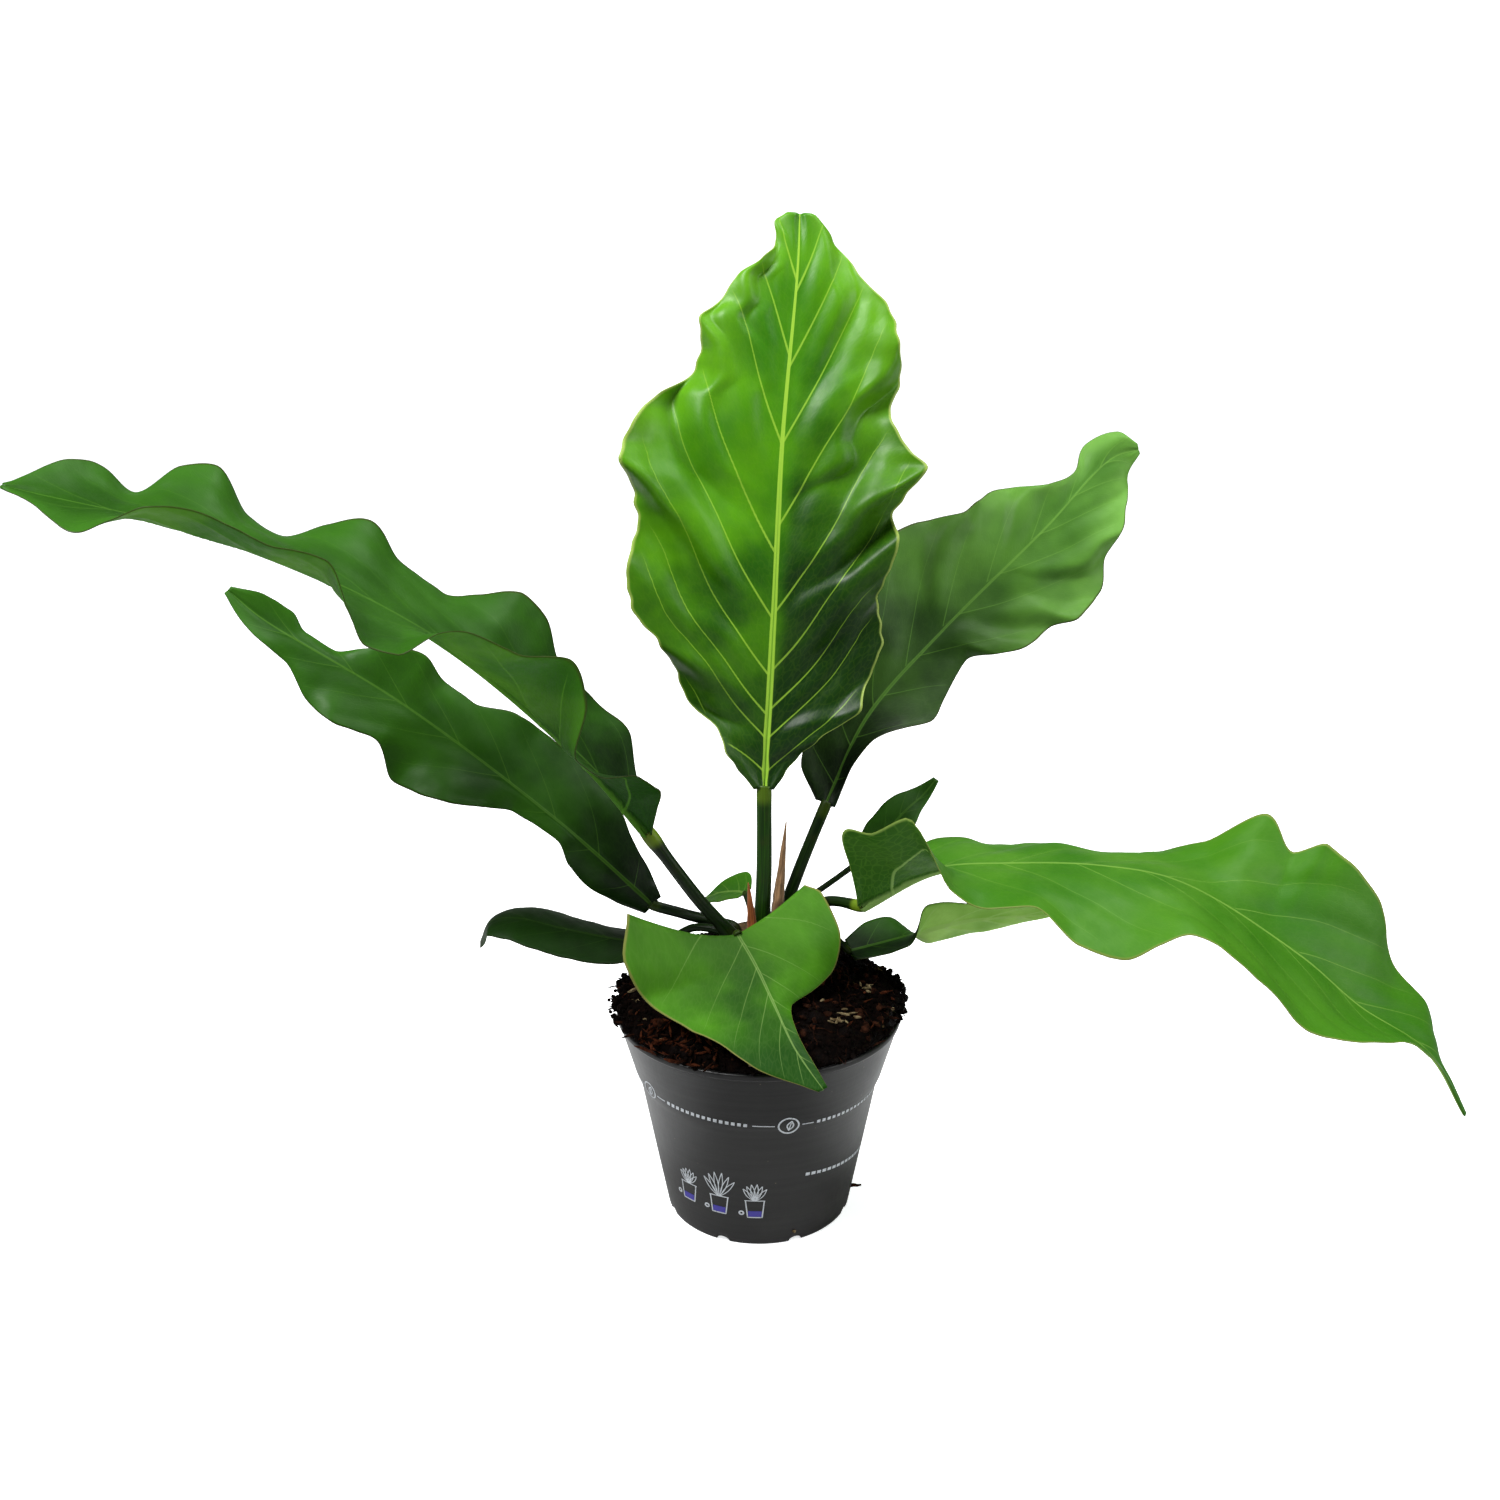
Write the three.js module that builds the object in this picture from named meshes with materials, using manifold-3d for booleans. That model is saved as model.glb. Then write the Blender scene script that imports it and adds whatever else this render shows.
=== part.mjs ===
// Potted foliage anthurium: a tapered nursery pot, its soil, a crown, ten leaves and three sheaths.
// Millimetres, +Z up. The origin is the centre of the pot's underside. The tallest leaf shows its
// upper face towards -Y, and the longest leaves reach out along -X and +X.
import * as THREE from "three";
import { mergeVertices } from "three/addons/utils/BufferGeometryUtils.js";
import Module from "manifold-3d";

const wasm = await Module();
wasm.setup();

// ---- Driving dimensions ----

// Pot
const POT_HEIGHT = 91;
const RIM_RADIUS = 60;
const POT_WALL = 1.2;
const LIP_HEIGHT = 2.4;
const LIP_WIDTH = 0.8;
const COLLAR_HEIGHT = 26;
const COLLAR_FLARE = 6.6;
const LEDGE_HEIGHT = 4.5;
const LEDGE_WIDTH = 2;
const BODY_TAPER = 11.2;
const HUB_RADIUS = 14;
const HEEL_WIDTH = 6.5;
const CHANNEL_RISE = 2.5;
const DRAIN_RADIUS = 3;
const DRAIN_COUNT = 8;
const NOTCH_WIDTH = 6;
const NOTCH_HEIGHT = 2.4;

// Soil and crown
const MOUND_RISE = 27;
const MOUND_EDGE_RISE = 5;
const CROWN_RADIUS = 17;
const CROWN_HEIGHT = 5;
const CLEARANCE = 0.3;

// Foliage
const FOLIAGE_SCALE = 1;
const FRONT_LEAF_RIM = 60;
const BLADE_THICKNESS = 0.9;
const PETIOLE_JOINT_GAP = 1.2;
const PETIOLE_FOOT_GAP = 0.6;
const PETIOLE_STEPS = 7;
const PETIOLE_SIDES = 8;
const BLADE_COLUMNS = 3;
const BLADE_CUP = 0.65;
const LOBE_SHARE = 0.35;
const SHEATH_ROWS = 7;
const SHEATH_COLUMNS = 2;
const SHEATH_CURL = 1.1;
const SHEATH_TIP = 0.4;
const ROUND_SEGMENTS = 48;

// ---- Sizes that follow ----

const LIP_FOOT_RADIUS = RIM_RADIUS - LIP_WIDTH;
const COLLAR_FOOT_RADIUS = LIP_FOOT_RADIUS - COLLAR_FLARE;
const BODY_TOP_RADIUS = COLLAR_FOOT_RADIUS - LEDGE_WIDTH;
const BASE_RADIUS = BODY_TOP_RADIUS - BODY_TAPER;
const COLLAR_FOOT = POT_HEIGHT - COLLAR_HEIGHT;
const BODY_TOP = COLLAR_FOOT - LEDGE_HEIGHT;
const HEEL_INNER_RADIUS = BASE_RADIUS - HEEL_WIDTH;
const SOIL_TOP = POT_HEIGHT + MOUND_RISE;
const CROWN_TOP = SOIL_TOP + CLEARANCE + CROWN_HEIGHT;
// The front leaf lies on the rim. Its widths are given for a rim of FRONT_LEAF_RIM and follow the real one.
const FRONT_LEAF_SCALE = RIM_RADIUS / FRONT_LEAF_RIM;

// ---- Materials ----

const colour = (hex, roughness) => new THREE.MeshStandardMaterial({ color: hex, roughness, metalness: 0 });
const POT_BLACK = colour(0x2b2c2e, 0.45);
const PEAT = colour(0x2a1b12, 0.95);
const YOUNG_LEAF = colour(0x4f9a14, 0.35);
const LEAF_GREEN = colour(0x2f7a22, 0.35);
const DARK_LEAF = colour(0x1f5a1e, 0.35);
const STALK_GREEN = colour(0x27501c, 0.4);
const CROWN_BROWN = colour(0x4a3a1c, 0.8);
const SHEATH_ORANGE = colour(0xb5532a, 0.6);
const SHEATH_BROWN = colour(0x6e4226, 0.7);
const SHEATH_PINK = colour(0xc79a86, 0.7);

// ---- Helpers ----

// Slope-limited cubic through rows [t, value, value ...], so crests stay where they are set.
function interpolate(rows, t) {
  const count = rows.length;
  const last = count - 1;
  const clamped = Math.min(Math.max(t, rows[0][0]), rows[last][0]);
  const step = (i) => rows[i + 1][0] - rows[i][0];
  const slope = (i, k) => (rows[i + 1][k] - rows[i][k]) / step(i);
  const tangent = (i, k) => {
    if (i === 0) return slope(0, k);
    if (i === last) return slope(last - 1, k);
    const before = slope(i - 1, k);
    const after = slope(i, k);
    if (before * after <= 0) return 0;
    const near = 2 * step(i) + step(i - 1);
    const far = step(i) + 2 * step(i - 1);
    return (near + far) / (near / before + far / after);
  };
  let i = 0;
  while (i < last - 1 && clamped > rows[i + 1][0]) i += 1;
  const width = step(i);
  const s = (clamped - rows[i][0]) / width;
  const values = [];
  for (let k = 1; k < rows[0].length; k += 1) {
    const start = (1 + 2 * s) * (1 - s) ** 2 * rows[i][k] + s * (1 - s) ** 2 * width * tangent(i, k);
    const end = s * s * (3 - 2 * s) * rows[i + 1][k] + s * s * (s - 1) * width * tangent(i + 1, k);
    values.push(start + end);
  }
  return values;
}

// A closed thin shell, half its thickness either side of a grid of points.
function thickSheet(grid, thickness) {
  const rows = grid.length;
  const columns = grid[0].length;
  const positions = [];
  const at = (i, j) => grid[Math.min(Math.max(i, 0), rows - 1)][Math.min(Math.max(j, 0), columns - 1)];
  for (const side of [0.5, -0.5]) {
    for (let i = 0; i < rows; i += 1) {
      for (let j = 0; j < columns; j += 1) {
        const along = at(i + 1, j).clone().sub(at(i - 1, j));
        const across = at(i, j + 1).clone().sub(at(i, j - 1));
        const normal = along.cross(across).normalize();
        const p = at(i, j).clone().addScaledVector(normal, side * thickness);
        positions.push(p.x, p.y, p.z);
      }
    }
  }
  const layer = rows * columns;
  const indices = [];
  const quad = (a, b, c, d) => indices.push(a, b, c, a, c, d);
  for (let i = 0; i < rows - 1; i += 1) {
    for (let j = 0; j < columns - 1; j += 1) {
      const a = i * columns + j;
      quad(a, a + columns, a + columns + 1, a + 1);
      quad(layer + a, layer + a + 1, layer + a + columns + 1, layer + a + columns);
    }
  }
  const rim = [];
  for (let j = 0; j < columns; j += 1) rim.push(j);
  for (let i = 1; i < rows; i += 1) rim.push(i * columns + columns - 1);
  for (let j = columns - 2; j >= 0; j -= 1) rim.push((rows - 1) * columns + j);
  for (let i = rows - 2; i > 0; i -= 1) rim.push(i * columns);
  rim.forEach((a, n) => {
    const b = rim[(n + 1) % rim.length];
    quad(a, b, layer + b, layer + a);
  });
  const geometry = new THREE.BufferGeometry();
  geometry.setAttribute("position", new THREE.Float32BufferAttribute(positions, 3));
  geometry.setIndex(indices);
  geometry.computeVertexNormals();
  return geometry;
}

function lathe(profile) {
  const points = profile.map(([radius, height]) => new THREE.Vector2(radius, height));
  const geometry = new THREE.LatheGeometry(points, ROUND_SEGMENTS);
  geometry.rotateX(Math.PI / 2);
  return geometry;
}

function rod(path, radius, sides, steps) {
  const outline = [];
  for (let n = 0; n < sides; n += 1) {
    const angle = (2 * Math.PI * n) / sides;
    outline.push(new THREE.Vector2(radius * Math.cos(angle), radius * Math.sin(angle)));
  }
  const section = new THREE.Shape(outline);
  return new THREE.ExtrudeGeometry(section, { steps, bevelEnabled: false, extrudePath: path });
}

function toManifold(geometry) {
  const bare = new THREE.BufferGeometry();
  bare.setAttribute("position", geometry.getAttribute("position"));
  bare.setIndex(geometry.getIndex());
  const merged = mergeVertices(bare, 1e-3);
  const vertProperties = new Float32Array(merged.attributes.position.array);
  const triVerts = new Uint32Array(merged.index.array);
  return new wasm.Manifold(new wasm.Mesh({ numProp: 3, vertProperties, triVerts }));
}

function fromManifold(solid) {
  const { vertProperties, triVerts } = solid.getMesh();
  const geometry = new THREE.BufferGeometry();
  geometry.setAttribute("position", new THREE.Float32BufferAttribute(vertProperties, 3));
  geometry.setIndex(new THREE.Uint32BufferAttribute(triVerts, 1));
  geometry.computeVertexNormals();
  return geometry;
}

function named(name, geometry, material) {
  const mesh = new THREE.Mesh(geometry, material);
  mesh.name = name;
  return mesh;
}

// ---- Pot: thin wall, flared collar, raised drainage channel round a central hub ----

// The wall's outer outline from the heel to the lip, moved inwards by `inset`.
function wallOutline(inset) {
  return [
    [BASE_RADIUS - inset, 0],
    [BODY_TOP_RADIUS - inset, BODY_TOP],
    [COLLAR_FOOT_RADIUS - inset, COLLAR_FOOT],
    [LIP_FOOT_RADIUS - inset, POT_HEIGHT - LIP_HEIGHT],
  ];
}

// The floor seen in section, from the axis out to the heel, moved up and away from it by `inset`.
function floorOutline(inset) {
  return [
    [0, inset],
    [HUB_RADIUS - inset, inset],
    [HUB_RADIUS - inset + CHANNEL_RISE / 2, inset + CHANNEL_RISE],
    [HEEL_INNER_RADIUS + inset - CHANNEL_RISE / 2, inset + CHANNEL_RISE],
    [HEEL_INNER_RADIUS + inset, inset],
  ];
}

function makePot() {
  const inner = wallOutline(POT_WALL);
  inner[0] = [BASE_RADIUS - POT_WALL, POT_WALL];
  const profile = [
    ...floorOutline(0),
    ...wallOutline(0),
    [RIM_RADIUS, POT_HEIGHT - LIP_HEIGHT],
    [RIM_RADIUS, POT_HEIGHT],
    [LIP_FOOT_RADIUS - POT_WALL, POT_HEIGHT],
    ...inner.reverse(),
    ...floorOutline(POT_WALL).reverse(),
  ];
  let pot = toManifold(lathe(profile));
  const drainCircle = (HUB_RADIUS + HEEL_INNER_RADIUS) / 2;
  for (let n = 0; n < DRAIN_COUNT; n += 1) {
    const turn = (2 * Math.PI * (n + 0.5)) / DRAIN_COUNT;
    const hole = new THREE.CylinderGeometry(DRAIN_RADIUS, DRAIN_RADIUS, 8 * CHANNEL_RISE, 12);
    hole.rotateX(Math.PI / 2);
    hole.translate(drainCircle * Math.cos(turn), drainCircle * Math.sin(turn), 0);
    pot = pot.subtract(toManifold(hole));
    const notch = new THREE.CylinderGeometry(NOTCH_WIDTH / 2, NOTCH_WIDTH / 2, 3 * HEEL_WIDTH, 10);
    notch.scale(2 * NOTCH_HEIGHT / NOTCH_WIDTH, 1, 1);
    notch.rotateY(Math.PI / 2);
    notch.rotateZ(turn);
    const outwards = new THREE.Vector3(-Math.sin(turn), Math.cos(turn), 0);
    notch.translate(outwards.x * BASE_RADIUS, outwards.y * BASE_RADIUS, 0);
    pot = pot.subtract(toManifold(notch));
  }
  return named("pot", fromManifold(pot), POT_BLACK);
}

// ---- Soil: fills the pot with a clearance and heaps up over the rim ----

function makeSoil() {
  const skin = POT_WALL + CLEARANCE;
  const fill = wallOutline(skin);
  fill[0] = [BASE_RADIUS - skin, skin];
  const mouth = LIP_FOOT_RADIUS - skin;
  const floor = floorOutline(skin);
  const profile = [
    ...floor,
    ...fill,
    [mouth, POT_HEIGHT + CLEARANCE],
    [RIM_RADIUS - LIP_WIDTH, POT_HEIGHT + CLEARANCE],
    [RIM_RADIUS - LIP_WIDTH, POT_HEIGHT + MOUND_EDGE_RISE],
    [RIM_RADIUS * 0.88, POT_HEIGHT + MOUND_RISE * 0.4],
    [RIM_RADIUS * 0.6, POT_HEIGHT + MOUND_RISE * 0.72],
    [CROWN_RADIUS + 1, SOIL_TOP],
    [0, SOIL_TOP],
  ];
  return named("soil", lathe(profile), PEAT);
}

function makeCrown() {
  const foot = SOIL_TOP + CLEARANCE;
  const profile = [
    [0, foot],
    [CROWN_RADIUS - 2, foot],
    [CROWN_RADIUS, foot + CROWN_HEIGHT * 0.4],
    [CROWN_RADIUS - 1.5, CROWN_TOP],
    [0, CROWN_TOP],
  ];
  return named("crown", lathe(profile), CROWN_BROWN);
}

// ---- Leaves ----

// Points are millimetres from the middle of the soil's top, grown by the foliage's scale.
const SOIL_MIDDLE = new THREE.Vector3(0, 0, SOIL_TOP);
const from = (x, y, z) => new THREE.Vector3(x, y, z).multiplyScalar(FOLIAGE_SCALE).add(SOIL_MIDDLE);
// A point at a fixed distance from the middle of the soil's top.
const aboveSoil = (x, y, z) => new THREE.Vector3(x, y, z).add(SOIL_MIDDLE);
// Points of a leaf that lies on the rim: x and y in rim radii, z in mound heights above the rim.
const overRim = (x, y, z) => new THREE.Vector3(x * RIM_RADIUS, y * RIM_RADIUS, POT_HEIGHT + z * MOUND_RISE);

// midrib: points from the blade's base to its tip.
// face: [t, x, y, z], the way the upper face looks at that share of the midrib's length.
// left, right: [t, reach, lift], each margin's distance from the midrib along the blade and its
//   height above it, seen on the upper face with the tip up. Their crests and hollows are the ruffles.
// lobes: how far the blade's base reaches back past the petiole, left and right.
// scale: what multiplies the widths, where it isn't the foliage's own scale.
// petiole: where it leaves the crown, a point it bends through, and its radius.
const LEAVES = [
  {
    name: "centre",
    material: YOUNG_LEAF,
    stations: 34,
    midrib: [from(2, 6, 68), from(6, 16, 145), from(9, 29, 206), from(15, 50, 270), from(16, 60, 291)],
    face: [[0, 0, -1, 0.15], [1, 0.05, -1, 0.2]],
    left: [
      [0, 4, 2], [0.05, 14, 3], [0.1, 20, 0], [0.15, 34, -8], [0.2, 38, -6], [0.26, 47, 4], [0.32, 58, 3],
      [0.38, 59, 4], [0.46, 56, -4], [0.52, 59, 0], [0.56, 63, 11], [0.61, 60, 7], [0.67, 50, -3],
      [0.71, 38, -10], [0.76, 35, -5], [0.8, 37, 2], [0.84, 28, 0], [0.88, 24, 2], [0.91, 14, 4],
      [0.95, 9, -1], [0.985, 10, 1], [1, 6, 0],
    ],
    right: [
      [0, 4, 1], [0.06, 13, 0], [0.1, 22, 4], [0.15, 36, 4], [0.2, 40, -4], [0.27, 45, -6], [0.34, 42, -8],
      [0.4, 46, 3], [0.45, 48, 5], [0.49, 46, -5], [0.54, 53, 2], [0.57, 57, 10], [0.62, 47, 5],
      [0.68, 42, -2], [0.74, 46, -8], [0.79, 42, 5], [0.84, 38, 5], [0.89, 27, 1], [0.94, 18, -3],
      [0.98, 11, -2], [1, 6, 0],
    ],
    lobes: [0, 0],
    petiole: { base: [1, 0], bend: from(2, 2, 34), radius: 3.4 },
  },
  {
    name: "back_right",
    material: DARK_LEAF,
    stations: 28,
    midrib: [from(28, 18, 57), from(46, 36, 90), from(80, 60, 122), from(125, 86, 160), from(157, 106, 188),
      from(169, 110, 191)],
    face: [[0, -0.25, -0.95, 0.1], [0.5, -0.15, -1, 0.25], [1, -0.1, -1, 0.2]],
    left: [
      [0, 5, 0], [0.05, 16, 3], [0.14, 20, -2], [0.24, 24, -5], [0.32, 34, 2], [0.4, 42, 3], [0.5, 45, -4],
      [0.58, 38, -6], [0.63, 30, 1], [0.7, 29, -6], [0.76, 22, -5], [0.8, 12, 2], [0.86, 7, 0],
      [0.92, 12, -4], [0.97, 10, -3], [1, 3, 0],
    ],
    right: [
      [0, 4, 0], [0.06, 4, 4], [0.14, 7, 5], [0.21, 16, 3], [0.27, 23, 0], [0.36, 19, -6], [0.42, 16, -4],
      [0.46, 24, 4], [0.52, 31, 5], [0.59, 32, -2], [0.64, 38, 2], [0.72, 37, -5], [0.78, 28, -6],
      [0.82, 26, 4], [0.88, 20, 2], [0.94, 14, -1], [1, 2, 0],
    ],
    lobes: [0, 0],
    petiole: { base: [9, 9], bend: from(16, 11, 28), radius: 2.7 },
  },
  {
    name: "upper_left",
    material: DARK_LEAF,
    stations: 36,
    midrib: [from(-45, -10, 55), from(-72, -18, 92), from(-125, -32, 144), from(-189, -46, 180),
      from(-263, -58, 202)],
    face: [[0, 0.1, -0.2, 1], [1, 0.1, -0.15, 1]],
    left: [
      [0, 4, 2], [0.04, 10, 13], [0.08, 17, 22], [0.12, 25, 22], [0.16, 30, 12], [0.2, 32, 11],
      [0.26, 37, 32], [0.31, 37, 40], [0.36, 34, 28], [0.42, 35, 24], [0.45, 36, 18], [0.48, 40, 4],
      [0.52, 40, 1], [0.56, 36, 9], [0.61, 33, 21], [0.68, 33, 18], [0.75, 31, 20], [0.81, 31, 17],
      [0.85, 29, 8], [0.9, 24, -1], [0.95, 14, 2], [1, 2, 0],
    ],
    right: [
      [0, 4, 2], [0.06, 15, 6], [0.11, 30, 11], [0.17, 34, 8], [0.24, 36, 9], [0.3, 43, 18], [0.34, 44, 19],
      [0.39, 40, 8], [0.43, 37, 2], [0.5, 38, 4], [0.56, 43, 12], [0.61, 40, 4], [0.66, 34, -5],
      [0.71, 33, -2], [0.77, 38, 12], [0.81, 35, 9], [0.86, 27, -2], [0.9, 27, 5], [0.94, 20, 8],
      [0.98, 8, 3], [1, 2, 0],
    ],
    lobes: [0, 0],
    petiole: { base: [-11, -7], bend: from(-26, -9, 27), radius: 2.9 },
  },
  {
    name: "lower_left",
    material: DARK_LEAF,
    stations: 28,
    midrib: [from(-45, 16, 12), from(-85, 24, 47), from(-150, 32, 97), from(-207, 38, 132), from(-220, 40, 143)],
    face: [[0, 0.2, -0.9, 0.55], [1, 0.15, -0.7, 0.7]],
    left: [
      [0, 4, -6], [0.06, 8, -11], [0.12, 11, -10], [0.17, 10, -8], [0.22, 7, 1], [0.32, 9, 0], [0.38, 18, 7],
      [0.43, 25, 9], [0.49, 28, 1], [0.54, 28, -6], [0.61, 20, 2], [0.7, 24, 3], [0.77, 19, -4],
      [0.84, 10, -2], [0.9, 9, 2], [0.95, 6, 1], [1, 2, 0],
    ],
    right: [
      [0, 4, 4], [0.04, 10, -3], [0.1, 14, 0], [0.19, 24, -3], [0.29, 29, -9], [0.37, 29, -8], [0.43, 27, -3],
      [0.51, 19, -1], [0.57, 19, -1], [0.63, 21, 7], [0.68, 17, 7], [0.73, 11, 2], [0.78, 6, -4],
      [0.84, 6, -2], [0.88, 9, 3], [0.94, 8, 4], [1, 2, 1],
    ],
    lobes: [0, 0],
    petiole: { base: [-11, 4], bend: from(-31, 13, 9), radius: 2.5 },
  },
  {
    name: "low_left",
    material: DARK_LEAF,
    stations: 16,
    midrib: [from(-40, 10, -3), from(-58, 13, -3), from(-84, 18, 0), from(-104, 22, 3), from(-116, 25, 0),
      from(-121, 26, -11)],
    face: [[0, 0, -0.1, 1], [1, -0.3, -0.2, 1]],
    left: [[0, 6, 0], [0.1, 12, -2], [0.35, 16, -3], [0.6, 15, -2], [0.82, 11, -1], [0.94, 7, 0], [1, 3, 0]],
    right: [[0, 6, -1], [0.1, 13, -3], [0.35, 17, -6], [0.6, 18, -6], [0.85, 12, -4], [0.94, 8, -2], [1, 3, 0]],
    lobes: [0, 0],
    petiole: { base: [-14, -1], bend: from(-27, 4, 7), radius: 1.8 },
  },
  {
    name: "front",
    material: LEAF_GREEN,
    stations: 18,
    midrib: [overRim(-0.15, -0.3, 1.52), overRim(-0.03, -0.47, 1.2), overRim(0.1, -0.73, 0.8),
      overRim(0.23, -1, 0.42), overRim(0.4, -1.23, 0.07)],
    face: [[0, 0.05, -0.45, 0.9], [1, 0.1, -0.6, 0.8]],
    left: [
      [0, 36, 2], [0.06, 41, 2], [0.17, 40, 1], [0.34, 30, -3], [0.41, 20, -4], [0.48, 7, -2], [0.6, 4, 1],
      [0.85, 3, 1], [1, 2, 0],
    ],
    right: [
      [0, 41, 14], [0.09, 50, 8], [0.22, 47, -1], [0.41, 38, 0], [0.6, 27, 2], [0.75, 19, 2], [0.88, 9, 0],
      [1, 2, 0],
    ],
    lobes: [8, 20],
    scale: FRONT_LEAF_SCALE,
    petiole: { base: [-1, -12], bend: aboveSoil(-5, -14, 9), radius: 2.1 },
  },
  {
    name: "right",
    material: LEAF_GREEN,
    stations: 36,
    midrib: [from(42, -8, 22), from(70, -15, 41), from(100, -21, 46), from(136, -26, 47), from(165, -30, 42),
      from(214, -34, 12), from(239, -36, -9), from(269, -38, -29), from(287, -38, -57)],
    face: [[0, -0.1, 0, 1], [0.4, 0, 0, 1], [0.6, 0.25, -0.35, 0.9], [1, 0.4, -0.5, 0.75]],
    left: [
      [0, 4, 2], [0.05, 20, 4], [0.14, 37, -2], [0.2, 38, -7], [0.28, 37, -6], [0.35, 37, -9], [0.43, 41, -7],
      [0.5, 42, 2], [0.545, 47, 21], [0.592, 39, 14], [0.622, 43, 24], [0.65, 41, 24], [0.71, 39, 20],
      [0.77, 34, 12], [0.82, 29, 3], [0.87, 26, 0], [0.91, 11, -3], [0.945, 2.5, 0], [1, 1, 0],
    ],
    right: [
      [0, 4, 2], [0.04, 14, 20], [0.08, 29, 38], [0.1, 32, 33], [0.13, 36, 36], [0.155, 36, 5],
      [0.2, 35, -4], [0.25, 38, -2], [0.31, 46, -14], [0.37, 49, -17], [0.42, 45, -10], [0.46, 41, -1],
      [0.52, 43, 4], [0.58, 42, 6], [0.65, 44, 4], [0.71, 38, 9], [0.76, 28, 12], [0.81, 17, 11],
      [0.87, 7, 4], [0.93, 2.5, 1], [1, 1, 0],
    ],
    lobes: [0, 0],
    petiole: { base: [12, -1], bend: from(27, 5, 18), radius: 2.4 },
  },
  {
    name: "low_right",
    material: LEAF_GREEN,
    stations: 16,
    midrib: [from(38, 2, -3), from(59, 8, 0), from(85, 14, 5), from(107, 18, 6), from(125, 22, 5)],
    face: [[0, 0, -0.4, 0.9], [0.24, 0, -0.2, 1], [0.42, 0, 0.85, 0.5], [1, 0, 0.9, 0.4]],
    left: [[0, 6, 1], [0.15, 12, 3], [0.4, 14, 2], [0.6, 14, 3], [0.8, 11, 3], [1, 2, 0]],
    right: [[0, 6, 1], [0.15, 12, 5], [0.4, 13, 4], [0.65, 13, -2], [0.85, 10, -2], [1, 2, 0]],
    lobes: [0, 0],
    petiole: { base: [14, 4], bend: from(25, 4, 8), radius: 1.6 },
  },
  {
    name: "small_right",
    material: LEAF_GREEN,
    stations: 12,
    midrib: [from(44, 32, 26), from(54, 38, 35), from(64, 45, 44), from(72, 51, 49), from(78, 55, 55)],
    face: [[0, -0.1, -0.8, 0.5], [1, -0.1, -0.8, 0.5]],
    left: [[0, 4, 0], [0.3, 9, 1], [0.5, 9, 2], [0.75, 6, 0], [1, 1.5, 0]],
    right: [[0, 4, 0], [0.3, 9, 1], [0.5, 8, 1], [0.75, 4, 0], [1, 1.5, 0]],
    lobes: [0, 0],
    petiole: { base: [4, 14], bend: from(24, 24, 14), radius: 1.4 },
  },
  {
    name: "small_back",
    material: YOUNG_LEAF,
    stations: 12,
    midrib: [from(-6, 24, 14), from(-10, 30, 12), from(-17, 38, 8), from(-24, 45, 2)],
    face: [[0, -0.2, -0.3, 1], [1, -0.2, -0.3, 1]],
    left: [[0, 4, 0], [0.3, 9, 1], [0.6, 8, 1], [1, 1.5, 0]],
    right: [[0, 4, 0], [0.3, 11, 3], [0.6, 9, 2], [1, 1.5, 0]],
    lobes: [0, 0],
    petiole: { base: [-3, 11], bend: from(-4, 17, 11), radius: 1.4 },
  },
];

// The blade's own directions at one share of the midrib: along it, across it and out of its face.
function bladeFrame(leaf, path, t) {
  const along = path.getTangentAt(t);
  const outward = new THREE.Vector3(...interpolate(leaf.face, t));
  outward.addScaledVector(along, -outward.dot(along)).normalize();
  const across = along.clone().cross(outward);
  return { along, outward, across };
}

function makeBlade(leaf) {
  const { scale = FOLIAGE_SCALE } = leaf;
  const path = new THREE.CatmullRomCurve3(leaf.midrib);
  const grid = [];
  for (let i = 0; i <= leaf.stations; i += 1) {
    const t = i / leaf.stations;
    const middle = path.getPointAt(t);
    const { along, outward, across } = bladeFrame(leaf, path, t);
    const row = [];
    for (let j = -BLADE_COLUMNS; j <= BLADE_COLUMNS; j += 1) {
      const v = Math.abs(j) / BLADE_COLUMNS;
      const [reach, lift] = interpolate(j < 0 ? leaf.left : leaf.right, t);
      const lobe = leaf.lobes[j < 0 ? 0 : 1];
      const back = lobe * Math.max(0, 1 - t / LOBE_SHARE) ** 2;
      const rise = lift * ((1 - BLADE_CUP) * v + BLADE_CUP * v * v);
      const point = middle.clone();
      point.addScaledVector(across, scale * Math.sign(j) * reach * v);
      point.addScaledVector(outward, scale * rise);
      point.addScaledVector(along, -scale * back * v ** 1.5);
      row.push(point);
    }
    grid.push(row);
  }
  return named(`blade_${leaf.name}`, thickSheet(grid, BLADE_THICKNESS), leaf.material);
}

function makePetiole(leaf) {
  const { base, bend, radius } = leaf.petiole;
  const foot = new THREE.Vector3(base[0], base[1], CROWN_TOP + PETIOLE_FOOT_GAP);
  const leaning = bend.clone().sub(foot).normalize();
  foot.z += radius * Math.hypot(leaning.x, leaning.y);
  const along = new THREE.CatmullRomCurve3(leaf.midrib).getTangentAt(0);
  const arriving = leaf.midrib[0].clone().sub(bend).normalize();
  const turned = arriving.clone().cross(along).length();
  const head = leaf.midrib[0].clone();
  head.addScaledVector(arriving, -PETIOLE_JOINT_GAP - radius * turned);
  const path = new THREE.CatmullRomCurve3([foot, bend, head]);
  return named(`petiole_${leaf.name}`, rod(path, radius, PETIOLE_SIDES, PETIOLE_STEPS), STALK_GREEN);
}

// ---- Sheaths: pointed papery scales that stand in the crown ----

const SHEATHS = [
  { name: "sheath_orange", base: [-2.5, -6.5], lean: [-2, 1], height: 26, width: 5, material: SHEATH_ORANGE },
  { name: "sheath_brown", base: [7, -5], lean: [4, 7], height: 50, width: 6, material: SHEATH_BROWN },
  { name: "sheath_pink", base: [7, 3], lean: [2, 2], height: 34, width: 6, material: SHEATH_PINK },
];

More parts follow.
